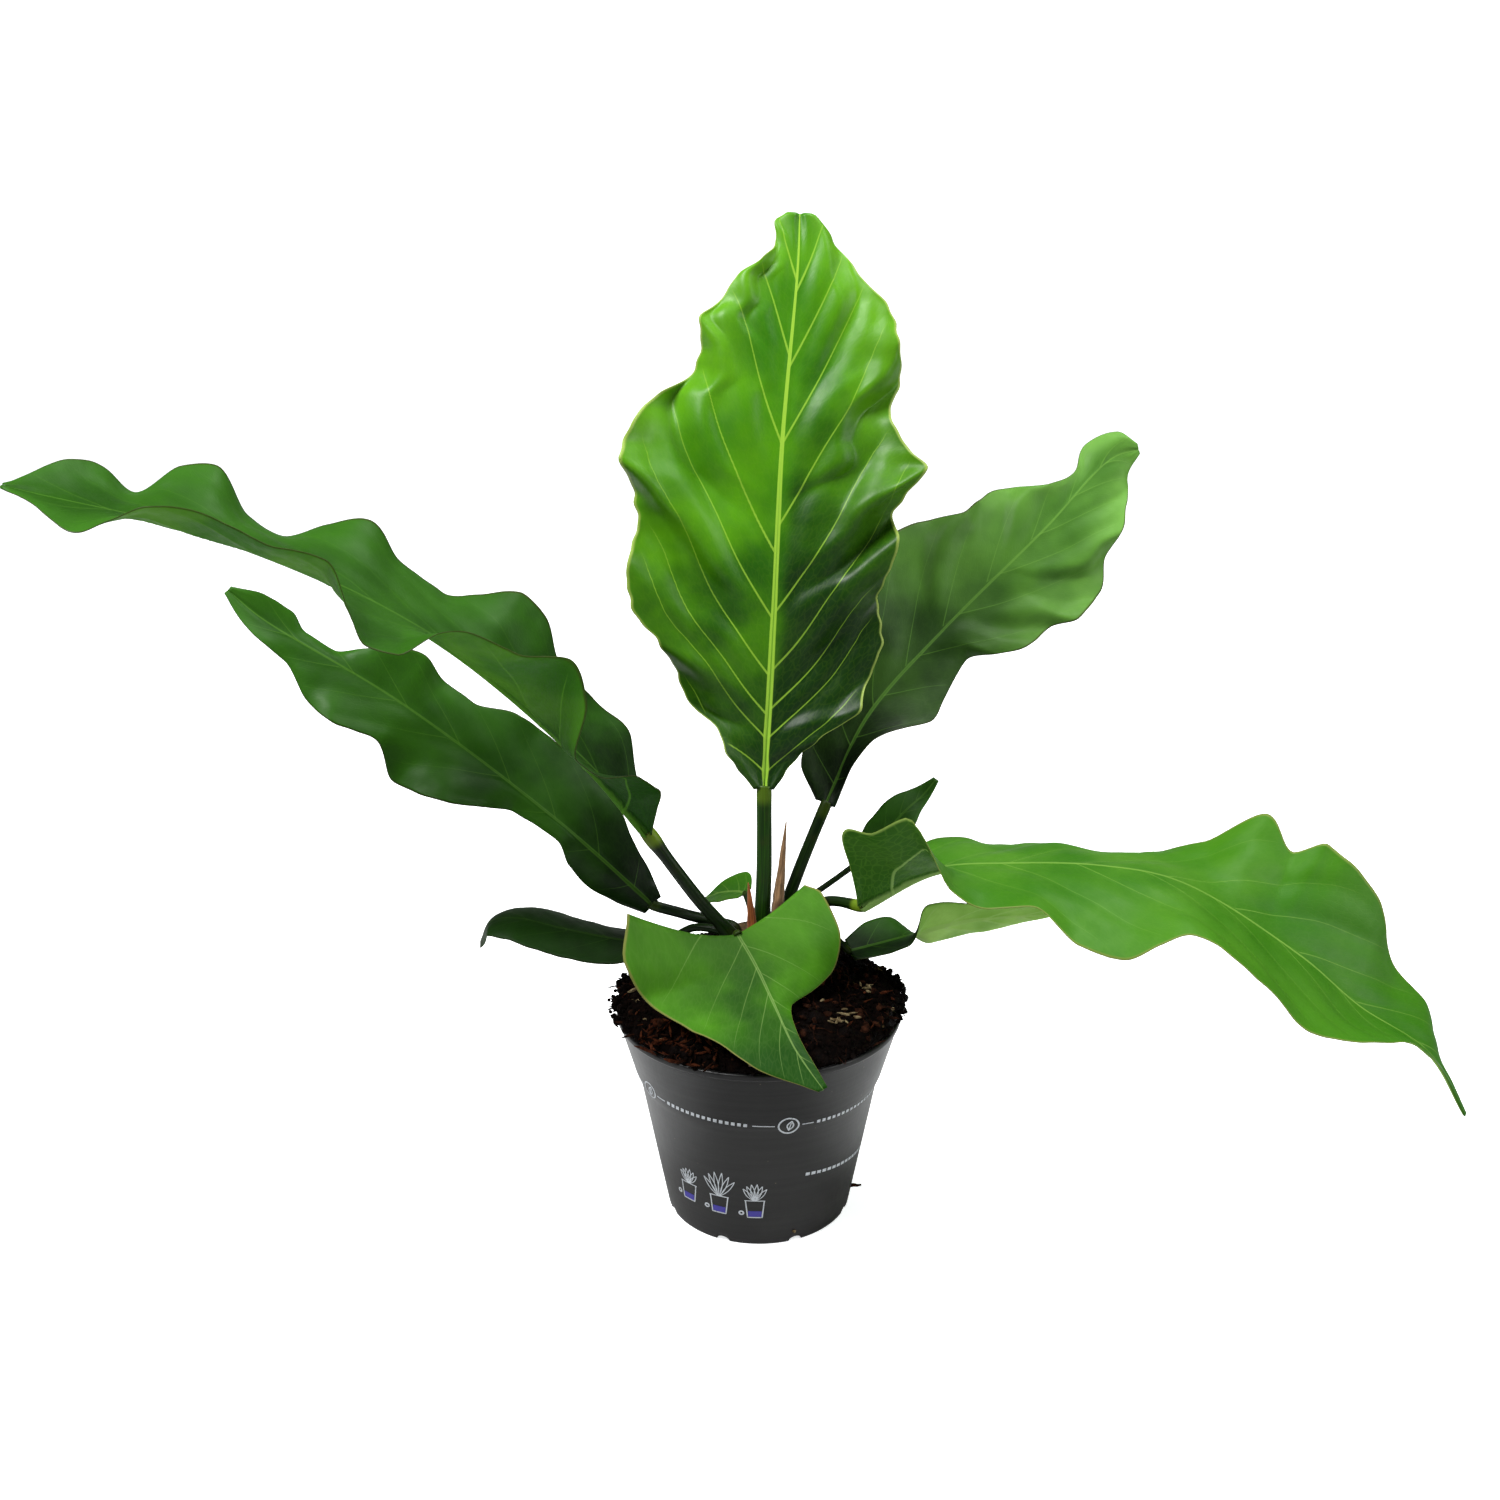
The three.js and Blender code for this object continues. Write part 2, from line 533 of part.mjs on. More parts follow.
function makeSheath(sheath) {
  const grid = [];
  for (let i = 0; i <= SHEATH_ROWS; i += 1) {
    const t = i / SHEATH_ROWS;
    const x = sheath.base[0] + sheath.lean[0] * t;
    const y = sheath.base[1] + sheath.lean[1] * t;
    const z = CROWN_TOP + CLEARANCE + BLADE_THICKNESS + sheath.height * t;
    const half = SHEATH_TIP + (sheath.width / 2) * (1 - t) * (1 + t) ** 0.5;
    const row = [];
    for (let j = -SHEATH_COLUMNS; j <= SHEATH_COLUMNS; j += 1) {
      const curl = (j / SHEATH_COLUMNS) * SHEATH_CURL;
      row.push(new THREE.Vector3(x + half * Math.sin(curl), y + half * (1 - Math.cos(curl)), z));
    }
    grid.push(row);
  }
  return named(sheath.name, thickSheet(grid, BLADE_THICKNESS), sheath.material);
}

// ---- Assembly ----

const plant = new THREE.Group();
plant.add(makePot(), makeSoil(), makeCrown());
for (const leaf of LEAVES) plant.add(makePetiole(leaf), makeBlade(leaf));
for (const sheath of SHEATHS) plant.add(makeSheath(sheath));

export default plant;
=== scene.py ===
import math
import random

import bpy
import numpy as np
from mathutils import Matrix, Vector, noise


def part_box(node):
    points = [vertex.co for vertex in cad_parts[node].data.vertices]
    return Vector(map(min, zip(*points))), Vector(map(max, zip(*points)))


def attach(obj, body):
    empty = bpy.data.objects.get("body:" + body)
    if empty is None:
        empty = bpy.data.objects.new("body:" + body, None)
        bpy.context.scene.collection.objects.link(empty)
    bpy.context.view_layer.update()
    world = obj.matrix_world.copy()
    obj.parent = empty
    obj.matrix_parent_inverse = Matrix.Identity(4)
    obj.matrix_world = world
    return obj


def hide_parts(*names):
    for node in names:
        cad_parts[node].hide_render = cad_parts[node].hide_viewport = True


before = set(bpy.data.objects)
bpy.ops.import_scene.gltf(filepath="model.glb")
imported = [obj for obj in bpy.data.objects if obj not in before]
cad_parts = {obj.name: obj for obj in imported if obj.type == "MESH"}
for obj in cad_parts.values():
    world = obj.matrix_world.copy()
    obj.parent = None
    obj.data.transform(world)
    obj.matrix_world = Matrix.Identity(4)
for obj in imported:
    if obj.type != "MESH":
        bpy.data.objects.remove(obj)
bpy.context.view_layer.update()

# ---------------------------------------------------------------- sizes from the frame

MM = 0.001
POT_LOW, POT_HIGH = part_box("pot")
SOIL_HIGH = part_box("soil")[1]
CROWN_LOW, CROWN_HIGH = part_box("crown")
RIM_RADIUS = (POT_HIGH[0] - POT_LOW[0]) / 2 / MM
POT_HEIGHT = POT_HIGH[2] / MM
SOIL_TOP = SOIL_HIGH[2] / MM
CROWN_TOP = CROWN_HIGH[2] / MM
CROWN_RADIUS = (CROWN_HIGH[0] - CROWN_LOW[0]) / 2 / MM
MOUND_RISE = SOIL_TOP - POT_HEIGHT
RANDOM_SEED = 12

# ---------------------------------------------------------------- curves and meshes


def spline(points, count):
    """Even steps along a centripetal spline through the points, and the spline's length."""
    p = np.array(points, float)
    p = np.vstack([2 * p[0] - p[1], p, 2 * p[-1] - p[-2]])
    s = np.linspace(0, 1, 80, endpoint=False)[:, None]
    pieces = []
    for a, b, c, d in zip(p[:-3], p[1:-2], p[2:-1], p[3:]):
        k0, k1, k2 = (np.linalg.norm(q - r) ** 0.5 for q, r in ((b, a), (c, b), (d, c)))
        m1 = ((b - a) / k0 - (c - a) / (k0 + k1) + (c - b) / k1) * k1
        m2 = ((c - b) / k1 - (d - b) / (k1 + k2) + (d - c) / k2) * k1
        pieces.append((2 * b - 2 * c + m1 + m2) * s**3 + (-3 * b + 3 * c - 2 * m1 - m2) * s**2 + m1 * s + b)
    dense = np.vstack(pieces + [p[-2][None]])
    run = np.r_[0, np.cumsum(np.linalg.norm(np.diff(dense, axis=0), axis=1))]
    even = np.linspace(0, run[-1], count)
    return np.stack([np.interp(even, run, dense[:, k]) for k in range(3)], 1), run[-1]


def through(rows, t):
    """Slope-limited cubic through rows [t, value, ...], so that crests stay where they are set."""
    rows = np.array(rows, float)
    x, y = rows[:, 0], rows[:, 1:]
    step = np.diff(x)[:, None]
    slope = np.diff(y, axis=0) / step
    tangent = np.zeros_like(y)
    tangent[0], tangent[-1] = slope[0], slope[-1]
    for i in range(1, len(x) - 1):
        before, after = slope[i - 1], slope[i]
        near, far = 2 * step[i] + step[i - 1], step[i] + 2 * step[i - 1]
        same = before * after > 0
        safe_before, safe_after = np.where(same, before, 1), np.where(same, after, 1)
        tangent[i] = np.where(same, (near + far) / (near / safe_before + far / safe_after), 0)
    t = np.clip(t, x[0], x[-1])
    i = np.clip(np.searchsorted(x, t, side="right") - 1, 0, len(x) - 2)
    width = step[i]
    s = (t - x[i])[:, None] / width
    start = (1 + 2 * s) * (1 - s) ** 2 * y[i] + s * (1 - s) ** 2 * width * tangent[i]
    end = s * s * (3 - 2 * s) * y[i + 1] + s * s * (s - 1) * width * tangent[i + 1]
    return start + end


def unit(v):
    return v / np.maximum(np.linalg.norm(v, axis=-1, keepdims=True), 1e-9)


def ease(low, high, value):
    """Smooth step from 0 at low to 1 at high."""
    s = np.clip((value - low) / (high - low), 0, 1)
    return s * s * (3 - 2 * s)


def ripple(seed, a, b, wave):
    """Soft irregular swell between about -1 and 1 over two coordinates in millimetres."""
    rng = np.random.default_rng(seed)
    total = np.zeros(np.broadcast(a, b).shape)
    for _ in range(7):
        turn = rng.uniform(0, 2 * math.pi)
        stretch = rng.uniform(0.7, 1.6) * 2 * math.pi / wave
        total += np.sin(stretch * (a * math.cos(turn) + b * math.sin(turn)) + rng.uniform(0, 6.3))
    return total / 7**0.5


def make_piece(name, points, faces, slot, materials, stands_for=(), smooth=True):
    """A mesh piece from points in millimetres, riding on the plant's one body."""
    mesh = bpy.data.meshes.new(name)
    mesh.from_pydata((np.asarray(points) * MM).tolist(), [], faces)
    mesh.polygons.foreach_set("use_smooth", [smooth] * len(mesh.polygons))
    for material in materials:
        mesh.materials.append(material)
    mesh.update()
    piece = bpy.data.objects.new(name, mesh)
    bpy.context.scene.collection.objects.link(piece)
    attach(piece, "root")
    if stands_for:
        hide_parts(*stands_for)
    return piece


def keep_field(piece, name, values):
    """Stores three numbers per point for the materials to read."""
    field = piece.data.attributes.new(name, "FLOAT_VECTOR", "POINT")
    field.data.foreach_set("vector", np.asarray(values, float).ravel())


def grid_faces(rows, columns, offset=0, flip=False, closed=False):
    """Quads over a grid of points, closed=True joining the last column to the first."""
    faces = []
    last = columns if closed else columns - 1
    for i in range(rows - 1):
        for j in range(last):
            k = (j + 1) % columns
            quad = [i * columns + j, i * columns + k, (i + 1) * columns + k, (i + 1) * columns + j]
            quad = [offset + n for n in quad]
            faces.append(quad[::-1] if flip else quad)
    return faces


def sheet_faces(rows, columns):
    """Faces of a thin closed sheet: an upper grid, a lower one after it, and the rim between them."""
    layer = rows * columns
    faces = grid_faces(rows, columns) + grid_faces(rows, columns, offset=layer, flip=True)
    ring = list(range(columns)) + [i * columns + columns - 1 for i in range(1, rows)]
    ring += [(rows - 1) * columns + j for j in range(columns - 2, -1, -1)]
    ring += [i * columns for i in range(rows - 2, 0, -1)]
    for a, b in zip(ring, ring[1:] + ring[:1]):
        faces.append([b, a, layer + a, layer + b])
    return faces


def tube(path, radii, sides, squash=1.0):
    """Points and faces of a closed rod along a path, round caps included."""
    path = np.asarray(path, float)
    along = unit(np.gradient(path, axis=0))
    side = np.zeros_like(along)
    start = np.cross(along[0], [0.0, 1.0, 0.0])
    side[0] = unit(start if np.linalg.norm(start) > 0.1 else np.cross(along[0], [1.0, 0.0, 0.0]))
    for i in range(1, len(path)):
        side[i] = unit(side[i - 1] - along[i] * (side[i - 1] @ along[i]))
    other = np.cross(along, side)
    turn = np.linspace(0, 2 * math.pi, sides, endpoint=False)
    radii = np.asarray(radii, float)[:, None, None]
    ring = side[:, None] * np.cos(turn)[None, :, None] + squash * other[:, None] * np.sin(turn)[None, :, None]
    points = (path[:, None] + ring * radii).reshape(-1, 3)
    count = len(path)
    points = np.vstack([points, path[0][None], path[-1][None]])
    faces = grid_faces(count, sides, closed=True)
    for j in range(sides):
        k = (j + 1) % sides
        faces.append([count * sides, k, j])
        faces.append([count * sides + 1, (count - 1) * sides + j, (count - 1) * sides + k])
    return points, faces


# ---------------------------------------------------------------- node graphs


class Graph:
    """Short words for building a node tree."""

    def __init__(self, tree):
        self.tree = tree

    def add(self, kind, **settings):
        node = self.tree.nodes.new(kind)
        for key, value in settings.items():
            setattr(node, key, value)
        return node

    def feed(self, socket, value):
        if isinstance(value, bpy.types.NodeSocket):
            self.tree.links.new(value, socket)
        elif value is not None:
            socket.default_value = value

    def math(self, operation, a, b=None, c=None):
        node = self.add("ShaderNodeMath", operation=operation)
        for socket, value in zip(node.inputs, (a, b, c)):
            self.feed(socket, value)
        return node.outputs[0]

    def fade(self, value, low, high, to_low=0.0, to_high=1.0):
        node = self.add("ShaderNodeMapRange", interpolation_type="SMOOTHSTEP")
        for socket, v in zip(node.inputs, (value, low, high, to_low, to_high)):
            self.feed(socket, v)
        return node.outputs[0]

    def mix(self, share, a, b):
        node = self.add("ShaderNodeMix", data_type="RGBA")
        self.feed(node.inputs[0], share)
        self.feed(node.inputs[6], a)
        self.feed(node.inputs[7], b)
        return node.outputs[2]

    def split(self, vector):
        node = self.add("ShaderNodeSeparateXYZ")
        self.feed(node.inputs[0], vector)
        return node.outputs

    def join(self, x, y, z):
        node = self.add("ShaderNodeCombineXYZ")
        for socket, value in zip(node.inputs, (x, y, z)):
            self.feed(socket, value)
        return node.outputs[0]

    def field(self, name):
        return self.add("ShaderNodeAttribute", attribute_name=name).outputs["Vector"]

    def noise(self, vector, scale, detail=3.0, rough=0.55, stretch=None):
        if stretch:
            shrink = self.add("ShaderNodeVectorMath", operation="MULTIPLY")
            self.feed(shrink.inputs[0], vector)
            shrink.inputs[1].default_value = stretch
            vector = shrink.outputs[0]
        node = self.add("ShaderNodeTexNoise")
        self.feed(node.inputs["Vector"], vector)
        node.inputs["Scale"].default_value = scale
        node.inputs["Detail"].default_value = detail
        node.inputs["Roughness"].default_value = rough
        return node.outputs[0]

    def place(self):
        return self.add("ShaderNodeTexCoord").outputs["Object"]


def new_group(name, inputs, outputs):
    """An empty shader group with named sockets: (name, kind, default) in, (name, kind) out."""
    tree = bpy.data.node_groups.new(name, "ShaderNodeTree")
    for label, kind, default in inputs:
        socket = tree.interface.new_socket(label, in_out="INPUT", socket_type=f"NodeSocket{kind}")
        if default is not None:
            socket.default_value = default
    for label, kind in outputs:
        tree.interface.new_socket(label, in_out="OUTPUT", socket_type=f"NodeSocket{kind}")
    graph = Graph(tree)
    return graph, graph.add("NodeGroupInput").outputs, graph.add("NodeGroupOutput").inputs


def use_group(graph, tree, **values):
    node = graph.add("ShaderNodeGroup", node_tree=tree)
    for label, value in values.items():
        graph.feed(node.inputs[label.replace("_", " ")], value)
    return node.outputs


def new_material(name, roughness=None, specular=0.5, sheen=0.0):
    """A material with one Principled shader. Returns it, its graph and the shader's inputs."""
    material = bpy.data.materials.new(name)
    material.use_nodes = True
    tree = material.node_tree
    tree.nodes.clear()
    graph = Graph(tree)
    shader = graph.add("ShaderNodeBsdfPrincipled")
    shader.inputs["Specular IOR Level"].default_value = specular
    shader.inputs["Sheen Weight"].default_value = sheen
    if roughness is not None:
        shader.inputs["Roughness"].default_value = roughness
    surface = graph.add("ShaderNodeOutputMaterial")
    tree.links.new(shader.outputs[0], surface.inputs["Surface"])
    return material, graph, shader.inputs


def bump(graph, height, distance, strength=1.0):
    node = graph.add("ShaderNodeBump")
    node.inputs["Strength"].default_value = strength
    node.inputs["Distance"].default_value = distance
    graph.feed(node.inputs["Height"], height)
    return node.outputs[0]


# ---------------------------------------------------------------- shared effects


def build_vein_group():
    """Masks of the midrib, the side veins, the fine net between them and the margin."""
    graph, given, out = new_group(
        "Blade Veins",
        [("Vein Width", "Float", 0.6), ("Midrib Width", "Float", 3.0), ("Net Size", "Float", 2.4)],
        [(mask, "Float") for mask in ("Midrib", "Side Veins", "Net", "Margin", "Channel")],
    )
    along, across, share = graph.split(graph.field("blade_place"))
    phase, gap, reach = graph.split(graph.field("blade_vein"))
    reach = graph.math("ABSOLUTE", reach)
    nearest = graph.math("ABSOLUTE", graph.math("SUBTRACT", graph.math("FRACT", phase), 0.5))
    distance = graph.math("MULTIPLY", graph.math("SUBTRACT", 0.5, nearest), gap)
    taper = graph.math("MULTIPLY_ADD", reach, -0.6, 1.0)
    wide = graph.math("MULTIPLY", given["Vein Width"], taper)
    side = graph.fade(distance, graph.math("MULTIPLY", wide, 0.35), wide, 1.0, 0.0)
    end = graph.fade(reach, 0.84, 0.95, 1.0, 0.0)
    graph.feed(out["Side Veins"], graph.math("MULTIPLY", side, end))
    narrowing = graph.math("POWER", graph.math("SUBTRACT", 1.02, share), 0.85)
    rib = graph.math("MULTIPLY_ADD", graph.math("MULTIPLY", given["Midrib Width"], narrowing), 0.5, 0.28)
    off = graph.math("ABSOLUTE", across)
    graph.feed(out["Midrib"], graph.fade(off, graph.math("MULTIPLY", rib, 0.72), rib, 1.0, 0.0))
    channel = graph.fade(off, 0.0, graph.math("MULTIPLY", rib, 0.3), 1.0, 0.0)
    low_down = graph.fade(share, 0.25, 0.7, 1.0, 0.0)
    graph.feed(out["Channel"], graph.math("MULTIPLY", channel, low_down))
    cells = graph.add("ShaderNodeTexVoronoi", feature="DISTANCE_TO_EDGE")
    size = graph.math("DIVIDE", 1.0, given["Net Size"])
    slide = graph.math("SUBTRACT", along, off)
    graph.feed(
        cells.inputs["Vector"],
        graph.join(graph.math("MULTIPLY", slide, size), graph.math("MULTIPLY", across, size), 0.0),
    )
    cells.inputs["Scale"].default_value = 1.0
    graph.feed(out["Net"], graph.fade(cells.outputs["Distance"], 0.02, 0.12, 1.0, 0.0))
    graph.feed(out["Margin"], graph.fade(reach, 0.972, 0.992))
    return graph.tree


def build_mottle_group():
    """Cloudy unevenness at a broad and a fine size, each between 0 and 1."""
    graph, given, out = new_group(
        "Mottle",
        [("Vector", "Vector", None), ("Broad Size", "Float", 20.0), ("Fine Size", "Float", 3.0)],
        [("Broad", "Float"), ("Fine", "Float")],
    )
    for label, detail in (("Broad", 3.0), ("Fine", 4.0)):
        texture = graph.add("ShaderNodeTexNoise")
        texture.inputs["Detail"].default_value = detail
        graph.feed(texture.inputs["Vector"], given["Vector"])
        graph.feed(texture.inputs["Scale"], graph.math("DIVIDE", 1.0, given[f"{label} Size"]))
        graph.feed(out[label], graph.fade(texture.outputs[0], 0.32, 0.68))
    return graph.tree


def build_dust_group():
    """Small pale specks and soft smears of dust."""
    graph, given, out = new_group(
        "Dust",
        [("Vector", "Vector", None), ("Speck Size", "Float", 0.004), ("Amount", "Float", 0.3)],
        [("Specks", "Float"), ("Smears", "Float")],
    )
    cells = graph.add("ShaderNodeTexVoronoi")
    graph.feed(cells.inputs["Vector"], given["Vector"])
    graph.feed(cells.inputs["Scale"], graph.math("DIVIDE", 1.0, given["Speck Size"]))
    speck = graph.fade(cells.outputs["Distance"], 0.05, 0.13, 1.0, 0.0)
    chance = graph.split(cells.outputs["Color"])[0]
    chosen = graph.math("LESS_THAN", chance, given["Amount"])
    graph.feed(out["Specks"], graph.math("MULTIPLY", speck, chosen))
    smear = graph.add("ShaderNodeTexNoise")
    smear.inputs["Detail"].default_value = 5.0
    smear.inputs["Scale"].default_value = 38.0
    graph.feed(smear.inputs["Vector"], given["Vector"])
    graph.feed(out["Smears"], graph.fade(smear.outputs[0], 0.45, 0.72))
    return graph.tree


VEINS = build_vein_group()
MOTTLE = build_mottle_group()
DUST = build_dust_group()

# ---------------------------------------------------------------- leaf materials


def leaf_face(
    name, shade, deep, fresh, pale, vein, edge, rough, rib_width, vein_width, vein_show,
    gloom=0.9, gloom_end=0.5, right_gloom=0.0, tip_deep=0.0, tip_start=0.78, tip_end=0.97, gloss=0.2,
):
    """Upper face: waxy, cloudy green, darker towards the stalk (partly its own deeper tone, partly painted
    shade), with pale veins and a thin margin.
    """
    material, graph, surface = new_material(name, specular=gloss)
    place = graph.field("blade_place")
    veins = use_group(graph, VEINS, Vein_Width=vein_width, Midrib_Width=rib_width, Net_Size=2.6)
    cloud = use_group(graph, MOTTLE, Vector=place, Broad_Size=38.0, Fine_Size=5.0)
    share = graph.split(place)[2]
    sided = graph.split(graph.field("blade_vein"))[2]
    reach = graph.math("ABSOLUTE", sided)
    tone = graph.mix(cloud["Broad"], deep, fresh)
    towards_tip = graph.fade(share, 0.15, 0.95, 0.2, 0.85)
    tone = graph.mix(graph.math("MULTIPLY", graph.fade(reach, 0.2, 1.0), towards_tip), tone, pale)
    tone = graph.mix(graph.math("MULTIPLY", cloud["Fine"], 0.14), tone, deep)
    # towards the stalk the blade takes its shade colour: partly its own deeper tone, partly painted shade; on
    # the front leaf that colour is lighter and greyer, a painted sheen
    near_stalk = graph.math("MULTIPLY_ADD", cloud["Broad"], 0.16, share)
    # painted shade: where right_gloom is set, the right half stays shaded further up the blade, as if turned
    # away from the light
    right_half = graph.math("MULTIPLY", graph.fade(sided, 0.0, 0.16), -right_gloom)
    near_stalk = graph.math("ADD", near_stalk, right_half)
    tone = graph.mix(graph.fade(near_stalk, 0.04, gloom_end, gloom, 0.0), tone, shade)
    tone = graph.mix(graph.fade(share, tip_start, tip_end, 0.0, tip_deep), tone, deep)
    tone = graph.mix(graph.math("MULTIPLY", veins["Net"], 0.025), tone, vein)
    side_show = graph.math("MULTIPLY_ADD", reach, -0.5 * vein_show, vein_show)
    tone = graph.mix(graph.math("MULTIPLY", veins["Side Veins"], side_show), tone, vein)
    tone = graph.mix(graph.math("MULTIPLY", veins["Midrib"], min(1.0, vein_show * 1.3)), tone, vein)
    # painted shade in the groove down the midrib near the base
    tone = graph.mix(graph.math("MULTIPLY", veins["Channel"], 0.65), tone, deep)
    tone = graph.mix(graph.math("MULTIPLY", veins["Margin"], 0.75), tone, edge)
    graph.feed(surface["Base Color"], tone)
    graph.feed(surface["Roughness"], graph.math("MULTIPLY_ADD", cloud["Fine"], 0.08, rough))
    pores = graph.noise(place, 1.6, detail=3.0)
    relief = graph.math("MULTIPLY_ADD", veins["Net"], -0.35, graph.math("MULTIPLY", pores, 0.5))
    graph.feed(surface["Normal"], bump(graph, relief, 0.0001, 0.35))
    return material


def leaf_back(name, shade, deep, fresh, vein, edge):
    """Underside: paler and duller, with the veins standing out."""
    material, graph, surface = new_material(name, specular=0.06)
    place = graph.field("blade_place")
    veins = use_group(graph, VEINS, Vein_Width=0.8, Midrib_Width=4.4, Net_Size=2.2)
    cloud = use_group(graph, MOTTLE, Vector=place, Broad_Size=26.0, Fine_Size=4.0)
    share = graph.split(place)[2]
    tone = graph.mix(cloud["Broad"], deep, fresh)
    # painted shade on the underside towards the stalk
    tone = graph.mix(graph.fade(share, 0.1, 0.4, 0.9, 0.0), tone, shade)
    tone = graph.mix(graph.math("MULTIPLY", veins["Net"], 0.12), tone, deep)
    tone = graph.mix(graph.math("MULTIPLY", veins["Side Veins"], 0.5), tone, vein)
    tone = graph.mix(graph.math("MULTIPLY", veins["Midrib"], 0.55), tone, vein)
    tone = graph.mix(graph.math("MULTIPLY", veins["Margin"], 0.6), tone, edge)
    graph.feed(surface["Base Color"], tone)
    graph.feed(surface["Roughness"], graph.math("MULTIPLY_ADD", cloud["Fine"], 0.12, 0.45))
    relief = graph.math("MULTIPLY_ADD", veins["Net"], 0.5, graph.math("MULTIPLY", cloud["Fine"], 0.3))
    graph.feed(surface["Normal"], bump(graph, relief, 0.00012, 0.4))
    return material


# the centre leaf carries the strongest painted shade, over its lower blade and its right half
YOUNG_FACE = leaf_face(
    "young_leaf_face",
    shade=(0.002, 0.018, 0.0005, 1), deep=(0.024, 0.14, 0.001, 1), fresh=(0.066, 0.24, 0.002, 1),
    pale=(0.11, 0.325, 0.007, 1), vein=(0.27, 0.48, 0.04, 1), edge=(0.3, 0.4, 0.08, 1),
    rough=0.36, rib_width=2.9, vein_width=0.6, vein_show=0.72,
    gloom=0.96, gloom_end=0.72, right_gloom=0.26, gloss=0.2,
)
YOUNG_BACK = leaf_back(
    "young_leaf_back",
    shade=(0.02, 0.1, 0.004, 1), deep=(0.05, 0.19, 0.006, 1), fresh=(0.1, 0.3, 0.012, 1),
    vein=(0.25, 0.42, 0.06, 1), edge=(0.3, 0.35, 0.1, 1),
)
MID_FACE = leaf_face(
    "mid_leaf_face",
    shade=(0.015, 0.08, 0.002, 1), deep=(0.022, 0.115, 0.001, 1), fresh=(0.05, 0.165, 0.008, 1),
    pale=(0.05, 0.185, 0.004, 1), vein=(0.2, 0.36, 0.06, 1), edge=(0.16, 0.2, 0.04, 1),
    rough=0.44, rib_width=1.2, vein_width=0.3, vein_show=0.4, gloom=0.35, tip_deep=0.75, tip_start=0.4,
    gloss=0.15,
)
# this leaf's shade colour is lighter and greyer than its greens: a painted sheen towards the stalk
FRONT_FACE = leaf_face(
    "front_leaf_face",
    shade=(0.06, 0.17, 0.018, 1), deep=(0.006, 0.04, 0.001, 1), fresh=(0.052, 0.18, 0.006, 1),
    pale=(0.05, 0.19, 0.004, 1), vein=(0.25, 0.4, 0.11, 1), edge=(0.2, 0.19, 0.05, 1),
    rough=0.5, rib_width=1.1, vein_width=0.28, vein_show=0.28, gloom=0.35, tip_deep=0.97, tip_start=0.4,
    tip_end=0.75, gloss=0.08,
)
# very pale green: partly the underside's own paler tone, partly painted light standing in for light shining
# through the leaf
MID_BACK = leaf_back(
    "mid_leaf_back",
    shade=(0.008, 0.08, 0.001, 1), deep=(0.24, 0.52, 0.07, 1), fresh=(0.44, 0.76, 0.17, 1),
    vein=(0.44, 0.7, 0.2, 1), edge=(0.25, 0.36, 0.08, 1),
)
SOFT_FACE = leaf_face(
    "soft_leaf_face",
    shade=(0.0006, 0.004, 0.0004, 1), deep=(0.036, 0.125, 0.01, 1), fresh=(0.078, 0.215, 0.022, 1),
    pale=(0.115, 0.29, 0.038, 1), vein=(0.13, 0.3, 0.04, 1), edge=(0.04, 0.04, 0.008, 1),
    rough=0.46, rib_width=1.4, vein_width=0.36, vein_show=0.4, gloom=0.98, gloom_end=0.95, gloss=0.16,
)
DARK_FACE = leaf_face(
    "dark_leaf_face",
    shade=(0.001, 0.005, 0.0006, 1), deep=(0.01, 0.05, 0.0014, 1), fresh=(0.022, 0.09, 0.004, 1),
    pale=(0.026, 0.11, 0.005, 1), vein=(0.07, 0.18, 0.018, 1), edge=(0.03, 0.035, 0.006, 1),
    rough=0.42, rib_width=1.2, vein_width=0.3, vein_show=0.35, gloss=0.12,
)
# a darker copy of the dark leaf face for the low leaf lying under the others: painted shade
SHADED_LOW_FACE = leaf_face(
    "shaded_low_leaf_face",
    shade=(0.002, 0.008, 0.0006, 1), deep=(0.003, 0.014, 0.0006, 1), fresh=(0.007, 0.033, 0.0014, 1),
    pale=(0.009, 0.042, 0.002, 1), vein=(0.03, 0.08, 0.008, 1), edge=(0.02, 0.02, 0.005, 1),
    rough=0.42, rib_width=1.2, vein_width=0.3, vein_show=0.35, gloss=0.12,
)
DARK_BACK = leaf_back(
    "dark_leaf_back",
    shade=(0.003, 0.035, 0.001, 1), deep=(0.03, 0.15, 0.003, 1), fresh=(0.08, 0.26, 0.009, 1),
    vein=(0.1, 0.29, 0.02, 1), edge=(0.04, 0.045, 0.01, 1),
)

# ---------------------------------------------------------------- leaves


def from_soil(x, y, z):
    """A point given from the middle of the soil's top."""
    return (x, y, SOIL_TOP + z)


def over_rim(x, y, z):
    """A point given in rim radii, and in mound heights above the rim."""
    return (x * RIM_RADIUS, y * RIM_RADIUS, POT_HEIGHT + z * MOUND_RISE)


def line_of(points, placed=from_soil):
    """A row of points, each given in the way that placed takes it."""
    return [placed(*point) for point in points]


